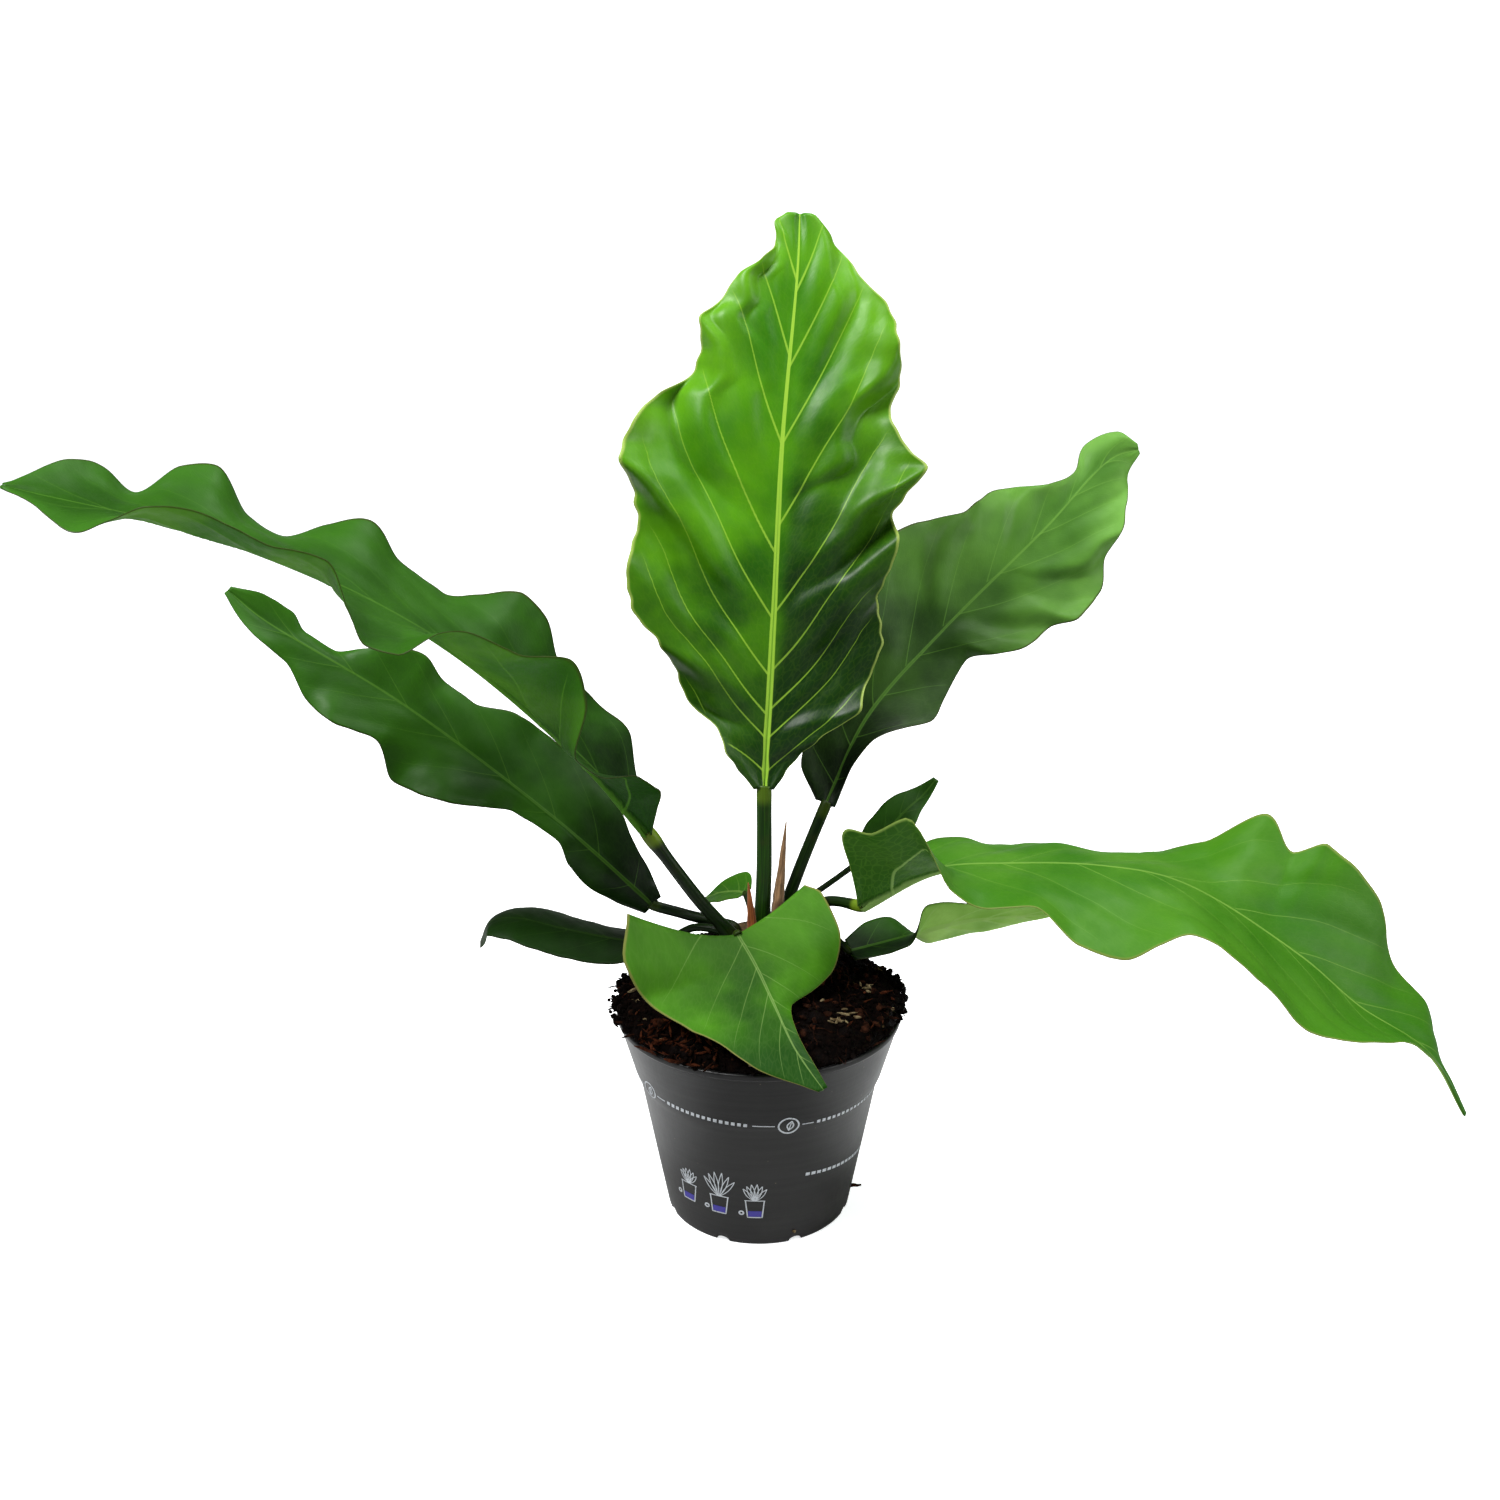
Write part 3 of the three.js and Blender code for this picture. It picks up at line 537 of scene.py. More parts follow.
# midrib: from the blade's base to its tip. face: [t, x, y, z], the way the upper face looks.
# left, right: [t, reach, lift] of each margin, seen on the upper face with the tip up.
# veins: where side veins leave the midrib, left and right.
# pillow: how far the blade swells between them. rib: half width of the midrib's ridge.
# nicks: size of the margin's fine waves. slant: how far its ruffles follow the side veins.
# petiole: foot, bend, radius, how much it swells at its joint, and its skin.
LEAVES = [
    dict(
        name="centre", slot="young_leaf", face_material=YOUNG_FACE, back_material=YOUNG_BACK,
        pillow=1.9, rib=2.0, nicks=0.5, slant=0.7,
        midrib=line_of([
            (2, 6, 68), (6, 16, 145), (9, 29, 206), (15, 50, 270), (16, 60, 291),
        ]),
        face=[[0, 0, -1, 0.15], [1, 0.05, -1, 0.2]],
        left=[
            [0, 4, 2], [0.05, 14, 3], [0.1, 20, 0], [0.15, 34, -8], [0.2, 38, -6], [0.26, 47, 4],
            [0.32, 58, 3], [0.38, 59, 4], [0.46, 56, -4], [0.52, 59, 0], [0.56, 63, 11], [0.61, 60, 7],
            [0.67, 50, -3], [0.71, 38, -10], [0.76, 35, -5], [0.8, 37, 2], [0.84, 28, 0],
            [0.88, 24, 2], [0.91, 14, 4], [0.95, 9, -1], [0.985, 10, 1], [1, 6, 0],
        ],
        right=[
            [0, 4, 1], [0.06, 13, 0], [0.1, 22, 4], [0.15, 36, 4], [0.2, 40, -4], [0.27, 45, -6],
            [0.34, 42, -8], [0.4, 46, 3], [0.45, 48, 5], [0.49, 46, -5], [0.54, 53, 2], [0.57, 57, 10],
            [0.62, 47, 5], [0.68, 42, -2], [0.74, 46, -8], [0.79, 42, 5], [0.84, 38, 5], [0.89, 27, 1],
            [0.94, 18, -3], [0.98, 11, -2], [1, 6, 0],
        ],
        veins=(
            [0.03, 0.09, 0.13, 0.2, 0.3, 0.41, 0.6, 0.75, 0.88],
            [0.03, 0.09, 0.14, 0.21, 0.31, 0.46, 0.6, 0.73, 0.86],
        ),
        petiole=dict(foot=(1, 0), bend=from_soil(2, 2, 34), radius=3.4, skin="young"),
    ),
    dict(
        name="back_right", slot="dark_leaf", face_material=SOFT_FACE, back_material=DARK_BACK,
        pillow=0.9, slant=0.6,
        midrib=line_of([
            (28, 18, 57), (46, 36, 90), (80, 60, 122), (125, 86, 160), (157, 106, 188),
            (169, 110, 191),
        ]),
        face=[[0, -0.25, -0.95, 0.1], [0.5, -0.15, -1, 0.25], [1, -0.1, -1, 0.2]],
        left=[
            [0, 5, 0], [0.05, 16, 3], [0.14, 20, -2], [0.24, 24, -5], [0.32, 34, 2], [0.4, 42, 3],
            [0.5, 45, -4], [0.58, 38, -6], [0.63, 30, 1], [0.7, 29, -6], [0.76, 22, -5], [0.8, 12, 2],
            [0.86, 7, 0], [0.92, 12, -4], [0.97, 10, -3], [1, 3, 0],
        ],
        right=[
            [0, 4, 0], [0.06, 4, 4], [0.14, 7, 5], [0.21, 16, 3], [0.27, 23, 0], [0.36, 19, -6],
            [0.42, 16, -4], [0.46, 24, 4], [0.52, 31, 5], [0.59, 32, -2], [0.64, 38, 2],
            [0.72, 37, -5], [0.78, 28, -6], [0.82, 26, 4], [0.88, 20, 2], [0.94, 14, -1], [1, 2, 0],
        ],
        veins=(
            [0.04, 0.12, 0.21, 0.31, 0.42, 0.55, 0.68, 0.8, 0.9],
            [0.05, 0.14, 0.24, 0.35, 0.47, 0.59, 0.71, 0.82, 0.92],
        ),
        petiole=dict(foot=(9, 9), bend=from_soil(16, 11, 28), radius=2.7),
    ),
    dict(
        name="upper_left", slot="dark_leaf", face_material=DARK_FACE, back_material=DARK_BACK,
        pillow=0.8,
        midrib=line_of([
            (-45, -10, 55), (-72, -18, 92), (-125, -32, 144), (-189, -46, 180), (-263, -58, 202),
        ]),
        face=[[0, 0.1, -0.2, 1], [1, 0.1, -0.15, 1]],
        left=[
            [0, 4, 2], [0.04, 10, 13], [0.08, 17, 22], [0.12, 25, 22], [0.16, 30, 12], [0.2, 32, 11],
            [0.26, 37, 32], [0.31, 37, 40], [0.36, 34, 28], [0.42, 35, 24], [0.45, 36, 18],
            [0.48, 40, 4], [0.52, 40, 1], [0.56, 36, 9], [0.61, 33, 21], [0.68, 33, 18],
            [0.75, 31, 20], [0.81, 31, 17], [0.85, 29, 8], [0.9, 24, -1], [0.95, 14, 2], [1, 2, 0],
        ],
        right=[
            [0, 4, 2], [0.06, 15, 6], [0.11, 30, 11], [0.17, 34, 8], [0.24, 36, 9], [0.3, 43, 18],
            [0.34, 44, 19], [0.39, 40, 8], [0.43, 37, 2], [0.5, 38, 4], [0.56, 43, 12], [0.61, 40, 4],
            [0.66, 34, -5], [0.71, 33, -2], [0.77, 38, 12], [0.81, 35, 9], [0.86, 27, -2],
            [0.9, 27, 5], [0.94, 20, 8], [0.98, 8, 3], [1, 2, 0],
        ],
        veins=(
            [0.05, 0.14, 0.23, 0.33, 0.43, 0.53, 0.64, 0.75, 0.86],
            [0.04, 0.12, 0.21, 0.31, 0.41, 0.52, 0.63, 0.75, 0.87],
        ),
        petiole=dict(foot=(-11, -7), bend=from_soil(-26, -9, 27), radius=2.9, joint=1.0, skin="jointed"),
    ),
    dict(
        name="lower_left", slot="dark_leaf", face_material=DARK_FACE, back_material=DARK_BACK,
        pillow=0.7,
        midrib=line_of([
            (-45, 16, 12), (-85, 24, 47), (-150, 32, 97), (-207, 38, 132), (-220, 40, 143),
        ]),
        face=[[0, 0.2, -0.9, 0.55], [1, 0.15, -0.7, 0.7]],
        left=[
            [0, 4, -6], [0.06, 8, -11], [0.12, 11, -10], [0.17, 10, -8], [0.22, 7, 1], [0.32, 9, 0],
            [0.38, 18, 7], [0.43, 25, 9], [0.49, 28, 1], [0.54, 28, -6], [0.61, 20, 2], [0.7, 24, 3],
            [0.77, 19, -4], [0.84, 10, -2], [0.9, 9, 2], [0.95, 6, 1], [1, 2, 0],
        ],
        right=[
            [0, 4, 4], [0.04, 10, -3], [0.1, 14, 0], [0.19, 24, -3], [0.29, 29, -9], [0.37, 29, -8],
            [0.43, 27, -3], [0.51, 19, -1], [0.57, 19, -1], [0.63, 21, 7], [0.68, 17, 7],
            [0.73, 11, 2], [0.78, 6, -4], [0.84, 6, -2], [0.88, 9, 3], [0.94, 8, 4], [1, 2, 1],
        ],
        veins=(
            [0.06, 0.16, 0.27, 0.38, 0.5, 0.62, 0.74, 0.86],
            [0.05, 0.14, 0.25, 0.36, 0.48, 0.6, 0.72, 0.84],
        ),
        petiole=dict(foot=(-11, 4), bend=from_soil(-31, 13, 9), radius=2.5),
    ),
    dict(
        # the low leaf wears the shaded copy of the dark face: painted shade
        name="low_left", slot="dark_leaf", face_material=SHADED_LOW_FACE, back_material=DARK_BACK,
        pillow=0.4,
        midrib=line_of([
            (-40, 10, -3), (-58, 13, -3), (-84, 18, 0), (-104, 22, 3), (-116, 25, 0), (-121, 26, -11),
        ]),
        face=[[0, 0, -0.1, 1], [1, -0.3, -0.2, 1]],
        left=[
            [0, 6, 0], [0.1, 12, -2], [0.35, 16, -3], [0.6, 15, -2], [0.82, 11, -1], [0.94, 7, 0],
            [1, 3, 0],
        ],
        right=[
            [0, 6, -1], [0.1, 13, -3], [0.35, 17, -6], [0.6, 18, -6], [0.85, 12, -4], [0.94, 8, -2],
            [1, 3, 0],
        ],
        veins=(
            [0.08, 0.25, 0.45, 0.65, 0.83],
            [0.1, 0.28, 0.48, 0.67, 0.85],
        ),
        petiole=dict(foot=(-14, -1), bend=from_soil(-27, 4, 7), radius=1.8),
    ),
    dict(
        name="front", slot="leaf", face_material=FRONT_FACE, back_material=MID_BACK,
        pillow=0.8,
        midrib=line_of([
            (-0.15, -0.3, 1.52), (-0.03, -0.47, 1.2), (0.1, -0.73, 0.8), (0.23, -1, 0.42),
            (0.4, -1.23, 0.07),
        ], placed=over_rim),
        face=[[0, 0.05, -0.45, 0.9], [1, 0.1, -0.6, 0.8]],
        left=[
            [0, 36, 2], [0.06, 41, 2], [0.17, 40, 1], [0.34, 30, -3], [0.41, 20, -4], [0.48, 7, -2],
            [0.6, 4, 1], [0.85, 3, 1], [1, 2, 0],
        ],
        right=[
            [0, 41, 14], [0.09, 50, 8], [0.22, 47, -1], [0.41, 38, 0], [0.6, 27, 2], [0.75, 19, 2],
            [0.88, 9, 0], [1, 2, 0],
        ],
        veins=(
            [-0.1, 0.08, 0.25, 0.42, 0.6, 0.78],
            [-0.1, 0.06, 0.22, 0.38, 0.56, 0.75],
        ),
        petiole=dict(foot=(-1, -12), bend=from_soil(-5, -14, 9), radius=2.1),
        lobes=(8, 20),
    ),
    dict(
        name="right", slot="leaf", face_material=MID_FACE, back_material=MID_BACK,
        pillow=0.9,
        midrib=line_of([
            (42, -8, 22), (70, -15, 41), (100, -21, 46), (136, -26, 47), (165, -30, 42),
            (214, -34, 12), (239, -36, -9), (269, -38, -29), (287, -38, -57),
        ]),
        face=[[0, -0.1, 0, 1], [0.4, 0, 0, 1], [0.6, 0.25, -0.35, 0.9], [1, 0.4, -0.5, 0.75]],
        left=[
            [0, 4, 2], [0.05, 20, 4], [0.14, 37, -2], [0.2, 38, -7], [0.28, 37, -6], [0.35, 37, -9],
            [0.43, 41, -7], [0.5, 42, 2], [0.545, 47, 21], [0.592, 39, 14], [0.622, 43, 24],
            [0.65, 41, 24], [0.71, 39, 20], [0.77, 34, 12], [0.82, 29, 3], [0.87, 26, 0],
            [0.91, 11, -3], [0.945, 2.5, 0], [1, 1, 0],
        ],
        right=[
            [0, 4, 2], [0.04, 14, 20], [0.08, 29, 38], [0.1, 32, 33], [0.13, 36, 36], [0.155, 36, 5],
            [0.2, 35, -4], [0.25, 38, -2], [0.31, 46, -14], [0.37, 49, -17], [0.42, 45, -10],
            [0.46, 41, -1], [0.52, 43, 4], [0.58, 42, 6], [0.65, 44, 4], [0.71, 38, 9], [0.76, 28, 12],
            [0.81, 17, 11], [0.87, 7, 4], [0.93, 2.5, 1], [1, 1, 0],
        ],
        veins=(
            [0.04, 0.13, 0.22, 0.32, 0.43, 0.53, 0.64, 0.75, 0.86],
            [0.05, 0.13, 0.21, 0.31, 0.4, 0.5, 0.61, 0.72, 0.84],
        ),
        petiole=dict(foot=(12, -1), bend=from_soil(27, 5, 18), radius=2.4, joint=0.7, skin="jointed"),
    ),
    dict(
        name="low_right", slot="leaf", face_material=DARK_FACE, back_material=MID_BACK,
        pillow=0.4,
        midrib=line_of([
            (38, 2, -3), (59, 8, 0), (85, 14, 5), (107, 18, 6), (125, 22, 5),
        ]),
        face=[[0, 0, -0.4, 0.9], [0.24, 0, -0.2, 1], [0.42, 0, 0.85, 0.5], [1, 0, 0.9, 0.4]],
        left=[
            [0, 6, 1], [0.15, 12, 3], [0.4, 14, 2], [0.6, 14, 3], [0.8, 11, 3], [1, 2, 0],
        ],
        right=[
            [0, 6, 1], [0.15, 12, 5], [0.4, 13, 4], [0.65, 13, -2], [0.85, 10, -2], [1, 2, 0],
        ],
        veins=(
            [0.08, 0.25, 0.45, 0.65, 0.83],
            [0.1, 0.28, 0.48, 0.67, 0.85],
        ),
        petiole=dict(foot=(14, 4), bend=from_soil(25, 4, 8), radius=1.6),
    ),
    dict(
        name="small_right", slot="leaf", face_material=DARK_FACE, back_material=MID_BACK,
        pillow=0.3,
        midrib=line_of([
            (44, 32, 26), (54, 38, 35), (64, 45, 44), (72, 51, 49), (78, 55, 55),
        ]),
        face=[[0, -0.1, -0.8, 0.5], [1, -0.1, -0.8, 0.5]],
        left=[
            [0, 4, 0], [0.3, 9, 1], [0.5, 9, 2], [0.75, 6, 0], [1, 1.5, 0],
        ],
        right=[
            [0, 4, 0], [0.3, 9, 1], [0.5, 8, 1], [0.75, 4, 0], [1, 1.5, 0],
        ],
        veins=(
            [0.1, 0.3, 0.5, 0.7],
            [0.15, 0.35, 0.55, 0.75],
        ),
        petiole=dict(foot=(4, 14), bend=from_soil(24, 24, 14), radius=1.4),
    ),
    dict(
        name="small_back", slot="young_leaf", face_material=MID_FACE, back_material=YOUNG_BACK,
        pillow=0.3,
        midrib=line_of([
            (-6, 24, 14), (-10, 30, 12), (-17, 38, 8), (-24, 45, 2),
        ]),
        face=[[0, -0.2, -0.3, 1], [1, -0.2, -0.3, 1]],
        left=[
            [0, 4, 0], [0.3, 9, 1], [0.6, 8, 1], [1, 1.5, 0],
        ],
        right=[
            [0, 4, 0], [0.3, 11, 3], [0.6, 9, 2], [1, 1.5, 0],
        ],
        veins=(
            [0.1, 0.35, 0.6, 0.8],
            [0.15, 0.4, 0.65, 0.85],
        ),
        petiole=dict(foot=(-3, 11), bend=from_soil(-4, 17, 11), radius=1.4),
    ),
]

STATION_STEP = 1.25
COLUMN_STEP = 1.3
CUP = 0.65
LOBE_SHARE = 0.35
BLADE_HALF_THICKNESS = 0.28
MARGIN_HALF_THICKNESS = 0.14
VEIN_FLAT = 0.7
VEIN_STEEPEN = 2.2
VEIN_ARCH = 0.008
VEIN_WANDER = 0.012
RIB_ABOVE = 0.75
KEEL_BELOW = 2.0


def vein_phase(starts, t, off, length):
    """Counts the side veins along the blade: whole numbers lie on a vein. Also the gap between them."""
    starts = np.array([starts[0] - 0.12, *starts, 1.05, 1.2])
    numbers = np.arange(len(starts), dtype=float)
    # a vein leaves the midrib flatter near the base and steeper near the tip, and arches forward
    outward = off * (1 + VEIN_ARCH * off) / length
    source = (t - VEIN_FLAT * outward) / (1 + VEIN_STEEPEN * outward)
    rise = VEIN_FLAT + VEIN_STEEPEN * np.clip(source, 0, 1)
    phase = np.interp(source, starts, numbers)
    below = source < starts[0]
    phase = np.where(below, (source - starts[0]) / (starts[1] - starts[0]), phase)
    gaps = np.interp(source, (starts[1:] + starts[:-1]) / 2, np.diff(starts)) * length
    return phase, gaps * (1 + VEIN_STEEPEN * outward) / np.sqrt(1 + rise**2)


def blade_lines(leaf):
    """The midrib as a fine line, the ways along it, out of the upper face and across, and its length."""
    middle_line, length = spline(leaf["midrib"], 400)
    dense = np.linspace(0, 1, len(middle_line))
    along = unit(np.gradient(middle_line, axis=0))
    outward = through(leaf["face"], dense)
    outward = unit(outward - (outward * along).sum(1, keepdims=True) * along)
    return dense, (middle_line, along, outward, np.cross(along, outward)), length


def blade_relief(t, length, rib_share, off, away, from_vein, gap):
    """How far the midrib and the side veins stand out above and below the blade."""
    narrowing = (1.02 - t[:, None]) ** 0.85
    stout = min(1.0, length / 200) ** 0.6
    rib = rib_share * stout * narrowing + 0.3
    groove = 1 - 0.8 * np.exp(-((off / (0.35 * rib)) ** 2))
    above = 0.32 * rib * np.exp(-((off / rib) ** 4)) * groove
    keel_half = KEEL_BELOW * stout * narrowing + 0.3
    keel = 1.1 * keel_half * np.sqrt(np.maximum(0, 1 - (off / keel_half) ** 2))
    thin = from_vein * gap
    taper = (1 - 0.75 * away) * ease(1.0, 0.85, away) * ease(0.0, 0.06, away)
    cord_above = 0.22 * taper * np.exp(-((thin / 0.7) ** 2))
    cord_below = 0.5 * taper * np.exp(-((thin / 0.8) ** 2))
    half_thick = MARGIN_HALF_THICKNESS + (BLADE_HALF_THICKNESS - MARGIN_HALF_THICKNESS) * ease(1.0, 0.9, away)
    return half_thick + above + cord_above, half_thick + keel + cord_below


def make_blade(leaf, number):
    dense, lines, length = blade_lines(leaf)
    rows = int(length / STATION_STEP)
    widest = max(row[1] for row in leaf["left"] + leaf["right"])
    half = max(10, int(widest / COLUMN_STEP))
    t = np.linspace(0, 1, rows)
    middle, tangent, normal, sideways = (
        np.stack([np.interp(t, dense, line[:, k]) for k in range(3)], 1)[:, None] for line in lines
    )
    v = np.linspace(-1, 1, 2 * half + 1)[None]
    away = np.abs(v)
    left, right = through(leaf["left"], t), through(leaf["right"], t)
    reach = np.where(v < 0, left[:, :1], right[:, :1])
    s = (t * length)[:, None] + 0 * v
    off = reach * away
    # the ruffles of the margin run inwards along the side veins
    slant = leaf.get("slant", 0.0) * (VEIN_FLAT + VEIN_STEEPEN * t[:, None]) * (reach - off) / length
    met = np.clip(t[:, None] + slant, 0, 1)
    lift_left = through(leaf["left"], met.ravel())[:, 1].reshape(met.shape)
    lift_right = through(leaf["right"], met.ravel())[:, 1].reshape(met.shape)
    lift = np.where(v < 0, lift_left, lift_right)
    signed = np.sign(v) * off
    # fine waves of the margin, on top of its large ruffles
    nicks = leaf.get("nicks", 0.12)
    fringe = np.minimum(1, reach / 14) * away**5
    reach_here = off + fringe * nicks * ripple(number * 7 + 1, s, 9 * v, 11)
    rise = lift * ((1 - CUP) * away + CUP * away**2)
    rise = rise + fringe * 2 * nicks * ripple(number * 7 + 2, s, 9 * v, 19)
    rise = rise + 2.4 * away * (1 - away) * ripple(number * 7 + 3, s, signed, 48) * np.minimum(1, reach / 30)
    lobes = leaf.get("lobes", (0, 0))
    back = np.where(v < 0, lobes[0], lobes[1]) * np.maximum(0, 1 - t / LOBE_SHARE)[:, None] ** 2 * away**1.5
    sheet = (
        middle
        + sideways * (np.sign(v) * reach_here)[..., None]
        + normal * rise[..., None]
        - tangent * back[..., None]
    )
    # side veins, never quite straight, and the pillows between them
    wander = t[:, None] + VEIN_WANDER * ripple(number * 7 + 4, s, signed, 70) * away
    phase_left, gap_left = vein_phase(leaf["veins"][0], wander, off, length)
    phase_right, gap_right = vein_phase(leaf["veins"][1], wander, off, length)
    phase = np.where(v < 0, phase_left, phase_right)
    gap = np.where(v < 0, gap_left, gap_right)
    from_vein = np.abs(phase - np.round(phase))
    swell = np.sin(math.pi * from_vein) ** 1.3
    belly = ease(0.02, 0.3, away) * ease(1.0, 0.7, away)
    pillow = leaf["pillow"] * swell * belly * np.minimum(1.2, gap / 22)
    slope_n = unit(np.cross(np.gradient(sheet, axis=1), np.gradient(sheet, axis=0)))
    sheet = sheet + slope_n * pillow[..., None]
    slope_n = unit(np.cross(np.gradient(sheet, axis=1), np.gradient(sheet, axis=0)))
    # midrib: a double ridge above, a round keel below
    up, down = blade_relief(t, length, leaf.get("rib", RIB_ABOVE), off, away, from_vein, gap)
    top = sheet + slope_n * up[..., None]
    bottom = sheet - slope_n * down[..., None]
    points = np.vstack([top.reshape(-1, 3), bottom.reshape(-1, 3)])
    faces = sheet_faces(rows, 2 * half + 1)
    upper_count = (rows - 1) * 2 * half
    name = f"leaf_{leaf['name']}"
    piece = make_piece(
        name, points, faces, leaf["slot"], [leaf["face_material"], leaf["back_material"]],
        stands_for=[f"blade_{leaf['name']}"],
    )
    sides = np.zeros(len(faces), int)
    sides[upper_count:2 * upper_count] = 1
    piece.data.polygons.foreach_set("material_index", sides)
    place = np.stack([s, signed, t[:, None] + 0 * v], -1).reshape(-1, 3)
    vein = np.stack([phase, gap, v + 0 * s], -1).reshape(-1, 3)
    keep_field(piece, "blade_place", np.vstack([place, place]))
    keep_field(piece, "blade_vein", np.vstack([vein, vein]))


for number, leaf in enumerate(LEAVES):
    make_blade(leaf, number)

# ---------------------------------------------------------------- stalks


def stalk_skin(name, joint_show, dark=(0.002, 0.008, 0.0008, 1), light=(0.008, 0.026, 0.0016, 1)):
    """Smooth dark stalk with fine lengthwise lines, lighter at the joint under the blade."""
    material, graph, surface = new_material(name, specular=0.16)
    place = graph.field("stalk_place")
    share = graph.split(place)[2]
    lines = graph.noise(place, 1.0, detail=2.0, stretch=(0.03, 1.6, 0.0))
    blotch = graph.noise(place, 0.12, detail=3.0)
    tone = graph.mix(graph.fade(lines, 0.35, 0.7), dark, light)
    blotched = graph.math("MULTIPLY", graph.fade(blotch, 0.5, 0.75), 0.35)
    tone = graph.mix(blotched, tone, (0.03, 0.026, 0.006, 1))
    before, after = graph.fade(share, 0.86, 0.93), graph.fade(share, 0.985, 1.0, 1.0, 0.6)
    joint = graph.math("MULTIPLY", before, after)
    tone = graph.mix(graph.math("MULTIPLY", joint, joint_show), tone, (0.16, 0.26, 0.012, 1))
    foot = graph.fade(share, 0.0, 0.16, 1.0, 0.0)
    tone = graph.mix(graph.math("MULTIPLY", foot, 0.5), tone, (0.05, 0.035, 0.012, 1))
    graph.feed(surface["Base Color"], tone)
    graph.feed(surface["Roughness"], graph.math("MULTIPLY_ADD", lines, 0.2, 0.26))
    graph.feed(surface["Normal"], bump(graph, lines, 0.0003, 0.4))
    return material


STALK_SKINS = {
    "plain": stalk_skin("plain_stalk", 0.1),
    "jointed": stalk_skin("jointed_stalk", 0.6),
    "young": stalk_skin("young_stalk", 0.3, dark=(0.004, 0.02, 0.001, 1), light=(0.014, 0.055, 0.002, 1)),
}
STALK_SIDES = 32
STALK_TAPER = 0.12
STALK_SQUASH = 0.92
JOINT_SWELL = 0.3
JOINT_SHARE = 0.94
JOINT_LENGTH = 6
FOOT_SWELL = 0.45


def make_stalk(leaf):
    stalk = leaf["petiole"]
    foot = (*stalk["foot"], CROWN_TOP - 2.5)
    lower = (stalk["foot"][0], stalk["foot"][1], CROWN_TOP + 1.0)
    head = np.array(leaf["midrib"][0])
    inside = np.array(leaf["midrib"][0]) + 0.02 * (np.array(leaf["midrib"][1]) - head)
    path, length = spline([foot, lower, stalk["bend"], head, inside], 90)
    t = np.linspace(0, 1, len(path))
    from_joint = (t - JOINT_SHARE) * length / JOINT_LENGTH
    knee = JOINT_SWELL * stalk.get("joint", 0.15) * np.exp(-(from_joint**2))
    swell = 1 + knee + FOOT_SWELL * (1 - ease(0, 0.25, t))
    radii = stalk["radius"] * swell * (1 - STALK_TAPER * t)
    points, faces = tube(path, radii, STALK_SIDES, squash=STALK_SQUASH)
    skin = STALK_SKINS[stalk.get("skin", "plain")]
    name = f"stalk_{leaf['name']}"
    piece = make_piece(name, points, faces, "petiole", [skin], stands_for=[f"petiole_{leaf['name']}"])
    turn = np.linspace(0, 2 * math.pi * stalk["radius"], STALK_SIDES, endpoint=False)
    place = np.stack(np.broadcast_arrays((t * length)[:, None], turn[None], t[:, None]), -1).reshape(-1, 3)
    place = np.vstack([place, [[0, 0, 0]], [[length, 0, 1]]])
    keep_field(piece, "stalk_place", place)


for leaf in LEAVES:
    make_stalk(leaf)

# ---------------------------------------------------------------- crown and sheaths


def crown_bark():
    """Dry fibrous stem, brown with green between the old leaf scars."""
    material, graph, surface = new_material("crown_bark", specular=0.25)
    place = graph.place()
    fibre = graph.noise(place, 700.0, detail=4.0, stretch=(1.0, 1.0, 0.18))
    patch = graph.noise(place, 120.0, detail=3.0)
    tone = graph.mix(graph.fade(fibre, 0.3, 0.7), (0.03, 0.016, 0.006, 1), (0.16, 0.1, 0.04, 1))
    tone = graph.mix(graph.math("MULTIPLY", graph.fade(patch, 0.48, 0.62), 0.7), tone, (0.05, 0.1, 0.012, 1))
    graph.feed(surface["Base Color"], tone)
    graph.feed(surface["Roughness"], graph.math("MULTIPLY_ADD", fibre, 0.3, 0.6))
    graph.feed(surface["Normal"], bump(graph, fibre, 0.0008, 0.8))
    return material


def make_crown():
    turns, levels = 96, 26
    foot = SOIL_TOP - 6.0
    points = []
    for i in range(levels):
        h = i / (levels - 1)
        z = foot + (CROWN_TOP - foot) * min(1.0, h * 1.25)
        inward = 1.0 if h < 0.8 else 1.0 - (h - 0.8) / 0.2
        ridge = 0.5 * math.sin(h * 34)
        for j in range(turns):
            a = 2 * math.pi * j / turns
            lump = noise.noise(Vector((math.cos(a) * 1.6, math.sin(a) * 1.6, h * 2.2)))
            radius = (CROWN_RADIUS * 0.86 + 2.4 * lump + ridge) * max(0.02, inward)
            points.append((radius * math.cos(a), radius * math.sin(a), z - 1.2 * abs(lump) * inward))
    faces = grid_faces(levels, turns, closed=True)
    faces.append(list(range(turns))[::-1])
    faces.append([(levels - 1) * turns + j for j in range(turns)])
    make_piece("crown_stub", points, faces, "crown", [crown_bark()], stands_for=["crown"])


make_crown()


def sheath_paper(name, dark, light):
    """Dry papery scale with lengthwise fibres."""
    material, graph, surface = new_material(name, specular=0.2, sheen=0.2)
    place = graph.field("sheath_place")
    fibre = graph.noise(place, 1.0, detail=4.0, stretch=(0.12, 3.2, 1.0))
    spots = graph.noise(place, 0.35, detail=2.0)
    tone = graph.mix(graph.fade(fibre, 0.32, 0.68), dark, light)
    tone = graph.mix(graph.math("MULTIPLY", graph.fade(spots, 0.52, 0.7), 0.5), tone, dark)
    graph.feed(surface["Base Color"], tone)
    graph.feed(surface["Roughness"], graph.math("MULTIPLY_ADD", fibre, 0.25, 0.5))
    graph.feed(surface["Normal"], bump(graph, fibre, 0.0003, 0.6))
    return material


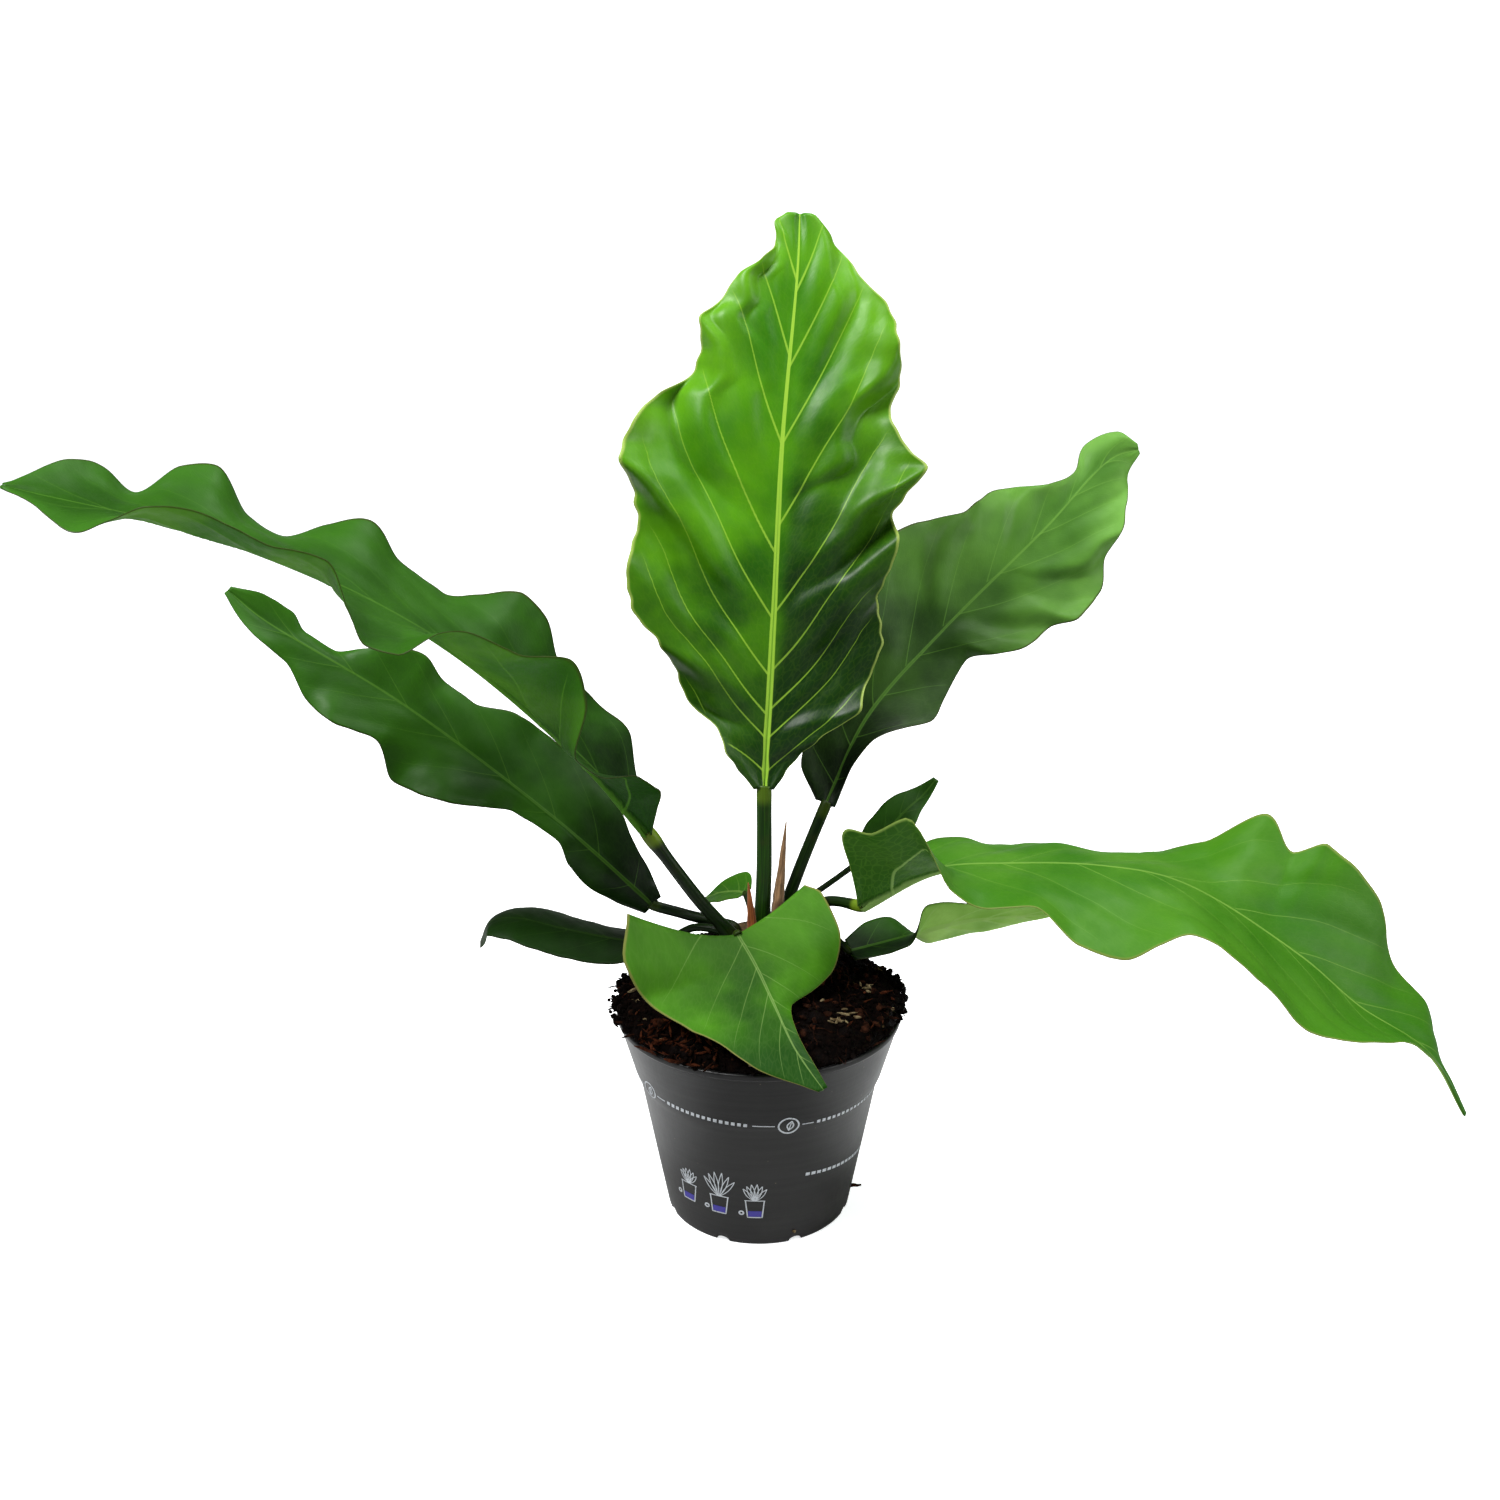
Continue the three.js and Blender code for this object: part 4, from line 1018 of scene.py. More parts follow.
# foot, lean (shift of the tip), height, width, dark and light colour
SHEATHS = [
    dict(name="orange", foot=(-2.5, -6.5), lean=(-2, 1), height=26, width=5,
         dark=(0.14, 0.035, 0.006, 1), light=(0.42, 0.12, 0.025, 1)),
    dict(name="brown", foot=(7, -5), lean=(4, 7), height=50, width=6,
         dark=(0.07, 0.035, 0.012, 1), light=(0.3, 0.17, 0.08, 1)),
    dict(name="pink", foot=(7, 3), lean=(2, 2), height=34, width=6,
         dark=(0.3, 0.16, 0.1, 1), light=(0.62, 0.46, 0.34, 1)),
]


def make_sheath(sheath):
    rows, half = 60, 9
    t = np.linspace(0, 1, rows)[:, None]
    j = np.linspace(-1, 1, 2 * half + 1)[None]
    middle = np.stack(np.broadcast_arrays(
        sheath["foot"][0] + sheath["lean"][0] * t**1.3,
        sheath["foot"][1] + sheath["lean"][1] * t**1.3,
        CROWN_TOP - 2 + (sheath["height"] + 2) * t,
    ), -1)
    wide = 0.15 + sheath["width"] / 2 * (1 - t) * (1 + t) ** 0.5
    wide = wide * (1 + 0.05 * ripple(len(sheath["name"]), t * sheath["height"], 6 * j, 7))
    curl = j * 1.2
    x = wide * np.sin(curl)
    y = wide * (1 - np.cos(curl)) + 0.35 * ripple(5, t * sheath["height"], 3 * j, 9) * (1 - t)
    sheet = middle + np.stack(np.broadcast_arrays(x, y, 0 * x), -1)
    n = unit(np.cross(np.gradient(sheet, axis=1), np.gradient(sheet, axis=0)))
    points = np.vstack([(sheet + 0.12 * n).reshape(-1, 3), (sheet - 0.12 * n).reshape(-1, 3)])
    faces = sheet_faces(rows, 2 * half + 1)
    name = sheath["name"]
    paper = sheath_paper(f"sheath_{name}_paper", sheath["dark"], sheath["light"])
    piece = make_piece(f"scale_{name}", points, faces, "sheath", [paper], stands_for=[f"sheath_{name}"])
    place = np.stack(np.broadcast_arrays(t * sheath["height"], j * 3.0, t), -1).reshape(-1, 3)
    keep_field(piece, "sheath_place", np.vstack([place, place]))


for sheath in SHEATHS:
    make_sheath(sheath)

# ---------------------------------------------------------------- soil


def peat(name, dark, light, wet):
    """Crumbly dark peat with a few damp glints."""
    material, graph, surface = new_material(name, specular=0.04)
    place = graph.place()
    crumbs = graph.noise(place, 420.0, detail=6.0, rough=0.7)
    damp = graph.noise(place, 90.0, detail=2.0)
    tone = graph.mix(graph.fade(crumbs, 0.35, 0.75), dark, light)
    graph.feed(surface["Base Color"], tone)
    graph.feed(surface["Roughness"], graph.fade(damp, 0.45, 0.65, 0.92, wet))
    graph.feed(surface["Normal"], bump(graph, crumbs, 0.0012, 0.9))
    return material


PEAT = peat("peat", (0.0009, 0.0004, 0.0003, 1), (0.005, 0.0019, 0.0011, 1), 0.5)
BARK = peat("bark_crumb", (0.006, 0.002, 0.001, 1), (0.045, 0.015, 0.007, 1), 0.7)
PALE_BIT = peat("pale_bit", (0.09, 0.06, 0.028, 1), (0.34, 0.27, 0.15, 1), 0.8)
RED_BARK = peat("red_bark", (0.014, 0.0035, 0.0015, 1), (0.095, 0.026, 0.01, 1), 0.7)
SOIL_EDGE = RIM_RADIUS - 0.8
SOIL_SHARES = ((0.0, 1.0), (0.3, 1.0), (0.6, 0.74), (0.88, 0.46), (0.97, 0.28), (1.0, 0.1))


def mound_height(x, y):
    """Height of the soil's surface over the pot's base, lumps included."""
    r = math.hypot(x, y) / SOIL_EDGE
    shares, heights = zip(*SOIL_SHARES)
    base = POT_HEIGHT + MOUND_RISE * float(np.interp(r, shares, heights))
    p = Vector((x, y, 0))
    lumps = 2.2 * noise.noise(p * 0.11) + 1.3 * noise.noise(p * 0.27) + 0.7 * noise.noise(p * 0.7)
    return base - 1.4 + lumps * min(1.0, r * 1.6 + 0.3)


def make_soil():
    rings, turns = 110, 300
    points = []
    for i in range(rings + 1):
        share = max(0.004, i / rings)
        for j in range(turns):
            a = 2 * math.pi * j / turns
            ragged = 1.0 + 0.018 * noise.noise(Vector((math.cos(a) * 4, math.sin(a) * 4, 2.0)))
            radius = SOIL_EDGE * share * (1 + (ragged - 1) * share)
            x, y = radius * math.cos(a), radius * math.sin(a)
            z = mound_height(x, y) + 0.35 * noise.noise(Vector((x, y, 1.0)) * 1.9)
            points.append((x, y, max(z, POT_HEIGHT - 1.5)))
    skirt = [(SOIL_EDGE - 1.4, -1.0), (SOIL_EDGE - 2.2, -6.0), (SOIL_EDGE * 0.6, -7.0), (0.4, -7.0)]
    for radius, drop in skirt:
        for j in range(turns):
            a = 2 * math.pi * j / turns
            points.append((radius * math.cos(a), radius * math.sin(a), POT_HEIGHT + drop))
    rows = rings + 1 + len(skirt)
    faces = grid_faces(rows, turns, closed=True, flip=True)
    faces.append(list(range(turns)))
    faces.append([(rows - 1) * turns + j for j in range(turns)][::-1])
    make_piece("peat_mound", points, faces, "soil", [PEAT], stands_for=["soil"])


make_soil()


def scattered(count, seed, inner, outer):
    """Random places on the mound, as (x, y, z)."""
    rng = random.Random(seed)
    for _ in range(count):
        r = SOIL_EDGE * math.sqrt(rng.uniform(inner**2, outer**2))
        a = rng.uniform(0, 2 * math.pi)
        x, y = r * math.cos(a), r * math.sin(a)
        yield rng, x, y, mound_height(x, y)


def chunk(rng, centre, size, flat):
    """A small lumpy crumb: a jittered seven-sided barrel with two tips."""
    sides = 7
    tilt = [rng.gauss(0, 1) for _ in range(3)]
    axis = unit(np.array(tilt))
    side = unit(np.cross(axis, [0.3, 0.9, 0.2]))
    other = np.cross(axis, side)
    points = []
    for h, w in ((-0.55, 0.6), (0.0, 1.0), (0.5, 0.65)):
        for n in range(sides):
            a = 2 * math.pi * n / sides
            r = size * w * rng.uniform(0.7, 1.2)
            points.append(side * r * math.cos(a) + other * r * flat * math.sin(a) + axis * size * h * 1.2)
    points += [axis * size * -0.9, axis * size * 0.85]
    points = np.array(points) + np.array(centre)
    faces = grid_faces(3, sides, closed=True)
    for n in range(sides):
        k = (n + 1) % sides
        faces.append([3 * sides, k, n])
        faces.append([3 * sides + 1, 2 * sides + n, 2 * sides + k])
    return points, faces


def gather(parts):
    """Joins separate closed bits into one list of points and faces."""
    points, faces = [], []
    start = 0
    for part_points, part_faces in parts:
        points.append(part_points)
        faces += [[start + n for n in face] for face in part_faces]
        start += len(part_points)
    return np.vstack(points), faces


def make_crumbs(name, count, seed, small, large, flat, material, outer=1.0, inner=0.25):
    parts = []
    for rng, x, y, z in scattered(count, seed, inner, outer):
        size = rng.uniform(small, large)
        parts.append(chunk(rng, (x, y, z + size * 0.25), size, flat))
    points, faces = gather(parts)
    make_piece(name, points, faces, "soil", [material], smooth=False)


make_crumbs("peat_crumbs", 1500, 21, 0.5, 1.5, 0.9, PEAT)
make_crumbs("bark_bits", 260, 22, 0.8, 2.2, 0.5, BARK)
make_crumbs("edge_crumbs", 420, 24, 0.6, 1.7, 0.8, PEAT, outer=1.02, inner=0.93)
make_crumbs("pale_bits", 26, 23, 0.7, 1.6, 0.5, PALE_BIT, inner=0.4)


FIBRE_BENDS = 3
FIBRE_OVERHANG = 2.5
FIBRE_ROWS = 12
FIBRE_SIDES = 5


def make_fibres(name, count, seed, material, long):
    """Thin curling root and coir fibres lying on the soil, some poking over the rim."""
    parts = []
    for rng, x, y, z in scattered(count, seed, 0.3, 1.0):
        turn = rng.uniform(0, 2 * math.pi)
        reach = rng.uniform(0.4, 1.0) * long
        path = [(x, y, z - 0.4)]
        for _ in range(FIBRE_BENDS):
            turn += rng.uniform(-0.7, 0.7)
            px = path[-1][0] + math.cos(turn) * reach / FIBRE_BENDS
            py = path[-1][1] + math.sin(turn) * reach / FIBRE_BENDS
            if math.hypot(px, py) > RIM_RADIUS + FIBRE_OVERHANG:
                px, py = px * 0.93, py * 0.93
            path.append((px, py, mound_height(px, py) + rng.uniform(0.2, 1.6)))
        line, _ = spline(path, FIBRE_ROWS)
        radius = rng.uniform(0.12, 0.26)
        parts.append(tube(line, radius * np.linspace(1, 0.4, FIBRE_ROWS), FIBRE_SIDES))
    points, faces = gather(parts)
    make_piece(name, points, faces, "soil", [material])


make_fibres("coir_fibres", 150, 31, BARK, 12.0)
make_fibres("root_hairs", 60, 32, PEAT, 9.0)


def splinter(rng, centre, long, wide):
    """A tapered flat sliver of bark lying roughly level."""
    turn = rng.uniform(0, math.pi)
    rise = rng.uniform(-0.3, 0.3)
    bow = rng.uniform(-0.12, 0.12) * long
    path = []
    for share in (-0.5, -0.2, 0.15, 0.5):
        off = bow * (1 - 4 * share * share)
        path.append((
            centre[0] + share * long * math.cos(turn) - off * math.sin(turn),
            centre[1] + share * long * math.sin(turn) + off * math.cos(turn),
            centre[2] + share * long * rise,
        ))
    return tube(path, wide * np.array([0.35, 1.0, 0.85, 0.2]), 6, squash=0.5)


def make_splinters(name, count, seed, long, wide, material, inner=0.25, outer=0.98):
    parts = []
    for rng, x, y, z in scattered(count, seed, inner, outer):
        length = rng.uniform(*long)
        parts.append(splinter(rng, (x, y, z + 0.7), length, rng.uniform(*wide)))
    points, faces = gather(parts)
    make_piece(name, points, faces, "soil", [material], smooth=False)


make_splinters("red_splinters", 120, 41, (3.0, 8.5), (0.35, 0.8), RED_BARK)
make_splinters("pale_splinters", 8, 46, (4.0, 8.0), (0.5, 0.9), PALE_BIT, inner=0.45, outer=0.9)


def make_clusters(name, seed, clusters, material, long, wide):
    """Loose heaps of slivers: each cluster is a middle, a spread and how many."""
    rng = random.Random(seed)
    parts = []
    for x0, y0, spread, count in clusters:
        for _ in range(count):
            x, y = x0 + rng.gauss(0, spread), y0 + rng.gauss(0, spread * 0.5)
            place = (x, y, mound_height(x, y) + rng.uniform(0.4, 1.6))
            parts.append(splinter(rng, place, rng.uniform(*long), rng.uniform(*wide)))
    points, faces = gather(parts)
    make_piece(name, points, faces, "soil", [material], smooth=False)


BROWN_HEAPS = [(-36, -44, 5.0, 26), (-28, -49, 4.0, 16), (-42, -37, 4.0, 14), (-18, -54, 4.0, 10)]
PALE_HEAPS = [(30, -38, 2.4, 9), (36, -33, 1.8, 5), (46, -12, 2.6, 7)]
make_clusters("brown_heaps", 51, BROWN_HEAPS, RED_BARK, (4.0, 9.0), (0.4, 0.9))
make_clusters("pale_heaps", 52, PALE_HEAPS, PALE_BIT, (2.5, 6.0), (0.4, 0.8))
make_splinters("rim_splinters", 60, 43, (4.0, 9.0), (0.3, 0.7), BARK, inner=0.93, outer=1.03)

# the peat heaps up and hangs over the rim on both sides: middle of the arc, its half width, how far out
OVERHANGS = [(math.pi, 0.5, 5.0), (0.12, 0.45, 4.5)]


def make_overhang():
    rng = random.Random(RANDOM_SEED)
    parts = []
    for middle, half, out in OVERHANGS:
        for _ in range(190):
            across = rng.uniform(-1, 1)
            up = rng.random()
            a = middle + half * across
            r = SOIL_EDGE - 4.0 + rng.random() * (4.0 + out * (1 - across * across)) * (1 - 0.4 * up)
            z = POT_HEIGHT + 0.5 + 8.5 * up * (1 - 0.6 * across * across)
            size = rng.uniform(0.7, 2.0)
            parts.append(chunk(rng, (r * math.cos(a), r * math.sin(a), z), size, 0.8))
        for _ in range(22):
            a = middle + half * rng.uniform(-0.9, 0.9)
            r = SOIL_EDGE + rng.uniform(-1.0, out * 0.8)
            place = (r * math.cos(a), r * math.sin(a), POT_HEIGHT + rng.uniform(1.0, 8.0))
            parts.append(splinter(rng, place, rng.uniform(2.5, 5.5), rng.uniform(0.2, 0.45)))
    points, faces = gather(parts)
    make_piece("peat_overhang", points, faces, "soil", [PEAT], smooth=False)


make_overhang()

# ---------------------------------------------------------------- pot

LIP_HEIGHT = 2.4
LIP_WIDTH = 0.8
COLLAR_HEIGHT = 26.0
COLLAR_FLARE = 6.6
LEDGE_HEIGHT = 4.5
LEDGE_WIDTH = 2.0
BODY_TAPER = 11.2
POT_WALL = 1.2
HUB_RADIUS = 14.0
HEEL_WIDTH = 6.5
CHANNEL_RISE = 2.5
DRAIN_RADIUS = 3.0
DRAIN_COUNT = 8
NOTCH_WIDTH = 6.0
NOTCH_HEIGHT = 2.4
POT_TURNS = 256

LIP_FOOT_RADIUS = RIM_RADIUS - LIP_WIDTH
COLLAR_FOOT_RADIUS = LIP_FOOT_RADIUS - COLLAR_FLARE
BODY_TOP_RADIUS = COLLAR_FOOT_RADIUS - LEDGE_WIDTH
BASE_RADIUS = BODY_TOP_RADIUS - BODY_TAPER
COLLAR_FOOT = POT_HEIGHT - COLLAR_HEIGHT
BODY_TOP = COLLAR_FOOT - LEDGE_HEIGHT
HEEL_INNER = BASE_RADIUS - HEEL_WIDTH


def wall_radius(z):
    """Outer radius of the pot's wall at a height."""
    heights = [0.0, BODY_TOP, COLLAR_FOOT, POT_HEIGHT - LIP_HEIGHT, POT_HEIGHT]
    radii = [BASE_RADIUS, BODY_TOP_RADIUS, COLLAR_FOOT_RADIUS, LIP_FOOT_RADIUS, LIP_FOOT_RADIUS]
    return float(np.interp(z, heights, radii))


def pot_plastic():
    """Black thermoformed plastic: satin, with dust, drag marks and faint forming rings."""
    material, graph, surface = new_material("pot_plastic", specular=0.45, sheen=0.05)
    place = graph.place()
    dust = use_group(graph, DUST, Vector=place, Speck_Size=0.0032, Amount=0.12)
    height = graph.split(place)[2]
    rings = graph.noise(place, 420.0, detail=2.0, stretch=(0.04, 0.04, 1.0))
    drags = graph.noise(place, 900.0, detail=3.0, stretch=(1.0, 1.0, 0.05))
    tone = graph.mix(graph.fade(rings, 0.3, 0.7), (0.004, 0.004, 0.0042, 1), (0.008, 0.008, 0.0082, 1))
    # the collar is duller than the body
    graph.feed(surface["Specular IOR Level"], graph.fade(height, BODY_TOP * MM, COLLAR_FOOT * MM, 0.42, 0.26))
    low = graph.fade(height, 0.0, 0.03, 0.5, 0.12)
    dusty = graph.math("MULTIPLY", dust["Smears"], low)
    tone = graph.mix(graph.math("MULTIPLY", dusty, 0.3), tone, (0.09, 0.085, 0.08, 1))
    tone = graph.mix(graph.math("MULTIPLY", dust["Specks"], 0.5), tone, (0.16, 0.12, 0.08, 1))
    graph.feed(surface["Base Color"], tone)
    rough = graph.math("MULTIPLY_ADD", drags, 0.12, 0.3)
    graph.feed(surface["Roughness"], graph.math("MULTIPLY_ADD", dusty, 0.3, rough))
    graph.feed(surface["Normal"], bump(graph, graph.math("MULTIPLY_ADD", drags, 0.3, rings), 0.0002, 0.25))
    return material


CORNER_STEPS = 4


def rounded(profile, radius):
    """The outline with each inner corner turned into a short arc-like curve."""
    out = [profile[0]]
    for before, corner, after in zip(profile[:-2], profile[1:-1], profile[2:]):
        before, corner, after = (np.array(p, float) for p in (before, corner, after))
        back, on = before - corner, after - corner
        cut = min(radius, np.linalg.norm(back) * 0.45, np.linalg.norm(on) * 0.45)
        start, end = corner + unit(back) * cut, corner + unit(on) * cut
        for k in range(CORNER_STEPS + 1):
            s = k / CORNER_STEPS
            out.append(tuple((1 - s) ** 2 * start + 2 * s * (1 - s) * corner + s * s * end))
    out.append(profile[-1])
    return out


def ringed(profile, gap):
    """The outline with extra points, so that no straight run is longer than the gap."""
    out = [profile[0]]
    for a, b in zip(profile[:-1], profile[1:]):
        a, b = np.array(a, float), np.array(b, float)
        steps = max(1, int(np.ceil(np.linalg.norm(b - a) / gap)))
        out += [tuple(a + (b - a) * k / steps) for k in range(1, steps + 1)]
    return out


def floor_outline(inset):
    return [
        (0.02, inset),
        (HUB_RADIUS - inset, inset),
        (HUB_RADIUS - inset + CHANNEL_RISE / 2, inset + CHANNEL_RISE),
        (HEEL_INNER + inset - CHANNEL_RISE / 2, inset + CHANNEL_RISE),
        (HEEL_INNER + inset, inset),
    ]


def make_cutter(points, faces):
    mesh = bpy.data.meshes.new("cutter")
    mesh.from_pydata((np.asarray(points) * MM).tolist(), [], faces)
    cutter = bpy.data.objects.new("cutter", mesh)
    bpy.context.scene.collection.objects.link(cutter)
    return cutter


def make_pot():
    lip_low = POT_HEIGHT - LIP_HEIGHT
    inner = LIP_FOOT_RADIUS - POT_WALL
    profile = floor_outline(0.0) + [
        (BASE_RADIUS, 0.0),
        (BODY_TOP_RADIUS, BODY_TOP),
        (COLLAR_FOOT_RADIUS, COLLAR_FOOT),
        (LIP_FOOT_RADIUS, lip_low - 0.6),
        (RIM_RADIUS, lip_low),
        (RIM_RADIUS, POT_HEIGHT),
        (inner, POT_HEIGHT),
        (COLLAR_FOOT_RADIUS - POT_WALL, COLLAR_FOOT),
        (BODY_TOP_RADIUS - POT_WALL, BODY_TOP),
        (BASE_RADIUS - POT_WALL, POT_WALL),
    ] + floor_outline(POT_WALL)[::-1]
    profile = ringed(rounded(profile, 0.9), 3.5)
    turn = np.linspace(0, 2 * math.pi, POT_TURNS, endpoint=False)
    points = [(r * math.cos(a), r * math.sin(a), z) for r, z in profile for a in turn]
    faces = grid_faces(len(profile), POT_TURNS, closed=True)
    faces.append(list(range(POT_TURNS))[::-1])
    faces.append([(len(profile) - 1) * POT_TURNS + j for j in range(POT_TURNS)])
    pot = make_piece("nursery_pot", points, faces, "pot", [pot_plastic()], stands_for=["pot"])
    cuts = []
    circle = (HUB_RADIUS + HEEL_INNER) / 2
    for n in range(DRAIN_COUNT):
        a = 2 * math.pi * (n + 0.5) / DRAIN_COUNT
        x, y = math.cos(a), math.sin(a)
        cuts.append(tube([(circle * x, circle * y, -3), (circle * x, circle * y, 8)], [DRAIN_RADIUS] * 2, 24))
        ax, ay = -math.sin(a), math.cos(a)
        reaches = (BASE_RADIUS - 1.5 * HEEL_WIDTH, BASE_RADIUS + 1.5 * HEEL_WIDTH)
        heel = [(reach * ax, reach * ay, 0) for reach in reaches]
        notch_points, notch_faces = tube(heel, [NOTCH_WIDTH / 2] * 2, 24)
        notch_points[:, 2] *= NOTCH_HEIGHT / (NOTCH_WIDTH / 2)
        cuts.append((notch_points, notch_faces))
    cutter = make_cutter(*gather(cuts))
    cut = pot.modifiers.new("drainage", "BOOLEAN")
    cut.object = cutter
    cut.solver = "EXACT"
    bpy.context.view_layer.objects.active = pot
    bpy.ops.object.modifier_apply(modifier=cut.name)
    bpy.data.objects.remove(cutter)


make_pot()

# ---------------------------------------------------------------- print on the pot


def ink(name, colour):
    """Thin screen-printed ink, a little worn."""
    material, graph, surface = new_material(name, specular=0.4)
    wear = graph.noise(graph.place(), 1500.0, detail=3.0)
    graph.feed(surface["Base Color"], graph.mix(graph.fade(wear, 0.54, 0.8), colour, (0.05, 0.05, 0.055, 1)))
    graph.feed(surface["Roughness"], graph.math("MULTIPLY_ADD", wear, 0.2, 0.4))
    return material


PALE_INK = ink("pale_ink", (0.6, 0.64, 0.68, 1))
BLUE_INK = ink("blue_ink", (0.06, 0.05, 0.36, 1))
INK_LIFT = 0.06
INK_THICKNESS = 0.05
FRONT = -math.pi / 2


def stroke(line, width):
    """A thin ribbon of ink wrapped on the wall. The line is (arc length from the front, height)."""
    line = np.array(line, float)
    fine = [line[0]]
    for a, b in zip(line[:-1], line[1:]):
        steps = max(1, int(np.linalg.norm(b - a) / 0.8))
        fine += [a + (b - a) * k / steps for k in range(1, steps + 1)]
    fine = np.array(fine)
    ahead = unit(np.gradient(fine, axis=0))
    side = np.stack([-ahead[:, 1], ahead[:, 0]], 1) * width / 2
    points = []
    for lift in (INK_LIFT, INK_LIFT + INK_THICKNESS):
        for edge in (fine + side, fine - side):
            for arc, z in edge:
                radius = wall_radius(z)
                a = FRONT + arc / radius
                points.append(((radius + lift) * math.cos(a), (radius + lift) * math.sin(a), z))
    n = len(fine)
    left, right, left_up, right_up = (list(range(k * n, (k + 1) * n)) for k in range(4))
    faces = []
    for i in range(n - 1):
        faces.append([left_up[i], right_up[i], right_up[i + 1], left_up[i + 1]])
        faces.append([left[i + 1], right[i + 1], right[i], left[i]])
        faces.append([left[i], left_up[i], left_up[i + 1], left[i + 1]])
        faces.append([right[i + 1], right_up[i + 1], right_up[i], right[i]])
    faces.append([left[0], right[0], right_up[0], left_up[0]])
    faces.append([right[-1], left[-1], left_up[-1], right_up[-1]])
    return np.array(points), faces


def ring_line(arc, z, radius, steps=28):
    return [
        (arc + radius * math.cos(2 * math.pi * k / steps), z + radius * math.sin(2 * math.pi * k / steps))
        for k in range(steps + 1)
    ]


def leaf_line(arc, z, long, wide, lean):
    """A small pointed leaf outline."""
    up, across = [], []
    for k in range(9):
        s = k / 8
        swell = wide * math.sin(math.pi * s)
        up.append((swell, long * s))
        across.append((-swell, long * (1 - s)))
    level, upright = math.cos(lean), math.sin(lean)
    return [(arc + x * level + y * upright, z - x * upright + y * level) for x, y in up + across]


BAND_HEIGHT = 63.9
BAND_TILT = 3.0
BADGE_RADIUS = 4.2
BADGE_EVERY = 56.0
BAND_WIDTH = 0.5
FIRST_BADGE = 11.8


def band_height(arc):
    """The band sits slightly askew, so it climbs to one side and falls to the other."""
    return BAND_HEIGHT - BAND_TILT * math.sin(arc / wall_radius(BAND_HEIGHT))


def along_band(start, end, width):
    steps = max(2, int((end - start) / 1.5))
    places = [start + (end - start) * k / steps for k in range(steps + 1)]
    return stroke([(arc, band_height(arc)) for arc in places], width)


def make_band():
    """A fine dashed line round the pot, broken by round badges that hold a plain leaf."""
    strokes = []
    round_length = 2 * math.pi * wall_radius(BAND_HEIGHT)
    badges = int(round_length / BADGE_EVERY)
    spacing = round_length / badges
    for n in range(badges):
        arc = (FIRST_BADGE + n * spacing + round_length / 2) % round_length - round_length / 2
        z = band_height(arc)
        strokes.append(stroke(ring_line(arc, z, BADGE_RADIUS), 0.7))
        strokes.append(stroke(leaf_line(arc, z - 2.6, 5.2, 1.3, 0.25), 0.6))
        strokes.append(stroke([(arc - 0.1, z - 3.0), (arc + 1.0, z + 1.4)], 0.45))
        start, end = arc + BADGE_RADIUS + 1.5, arc + spacing - BADGE_RADIUS - 1.5
        strokes.append(along_band(start, start + 5, BAND_WIDTH))
        strokes.append(along_band(end - 9, end, BAND_WIDTH))
        at = start + 6.5
        while at + 1.6 < end - 10.5:
            strokes.append(along_band(at, at + 1.5, BAND_WIDTH * 3.6))
            at += 2.5
    points, faces = gather(strokes)
    make_piece("print_band", points, faces, "print", [PALE_INK], smooth=False)


# arc length from the front, height of the little pot's foot, plant height
PICTURES = [(-32.0, 16.6, 8.0), (-17.0, 15.4, 13.0), (-1.8, 15.0, 9.0)]
PICTURE_POT = 9.0
TAG_START = (19.3, 35.5)
TAG_END = (60.0, 30.5)
TAG_DASHES = 15


def make_pictures():
    """Small drawings of potted plants standing in water, and a plain dashed line beside them."""
    pale, blue = [], []
    for arc, z, plant in PICTURES:
        top = z + PICTURE_POT
        pale.append(stroke([(arc - 3.9, top), (arc - 3.0, z), (arc + 3.0, z), (arc + 3.9, top)], 0.5))
        pale.append(stroke([(arc - 4.3, top), (arc + 4.3, top)], 0.4))
        for lean in (-0.62, -0.38, -0.15, 0.1, 0.35, 0.62):
            long = plant * (1 - 0.3 * abs(lean))
            pale.append(stroke(leaf_line(arc + lean, top + 0.2, long, 0.85, lean), 0.35))
        for level in (0.9, 1.9, 2.9):
            blue.append(stroke([(arc - 2.8, z + level), (arc + 2.8, z + level)], 1.0))
        pale.append(stroke(ring_line(arc - 5.6, z + 2.2, 0.9, 10), 0.7))
    for n in range(TAG_DASHES):
        dash = []
        for share in ((n + 0.1) / TAG_DASHES, (n + 0.8) / TAG_DASHES):
            dash.append([a + (b - a) * share for a, b in zip(TAG_START, TAG_END)])
        pale.append(stroke(dash, 1.5))
    points, faces = gather(pale)
    make_piece("print_pictures", points, faces, "print", [PALE_INK], smooth=False)
    points, faces = gather(blue)
    make_piece("print_water", points, faces, "print_blue", [BLUE_INK], smooth=False)


make_band()
make_pictures()

# a dry twig end and a fleck of grit clinging to the wall: turn from the front, height
TWIG = (math.radians(79), 8.0)
TWIG_PATH = ((-0.3, 0.0), (1.2, 0.4), (2.8, 0.3), (4.4, 0.9))
FLECK = (math.radians(21), 5.5)


def make_stuck_bits():
    a, z = FRONT + TWIG[0], TWIG[1]
    radius = wall_radius(z)
    path = [((radius + d) * math.cos(a), (radius + d) * math.sin(a), z + rise) for d, rise in TWIG_PATH]
    points, faces = tube(path, [0.9, 0.8, 0.6, 0.4], 8)
    make_piece("stuck_twig", points, faces, "soil", [RED_BARK])
    a, z = FRONT + FLECK[0], FLECK[1]
    radius = wall_radius(z) + 0.2
    points, faces = chunk(random.Random(3), (radius * math.cos(a), radius * math.sin(a), z), 0.9, 0.7)
    make_piece("stuck_fleck", points, faces, "soil", [PALE_BIT], smooth=False)


make_stuck_bits()

# ---------------------------------------------------------------- studio

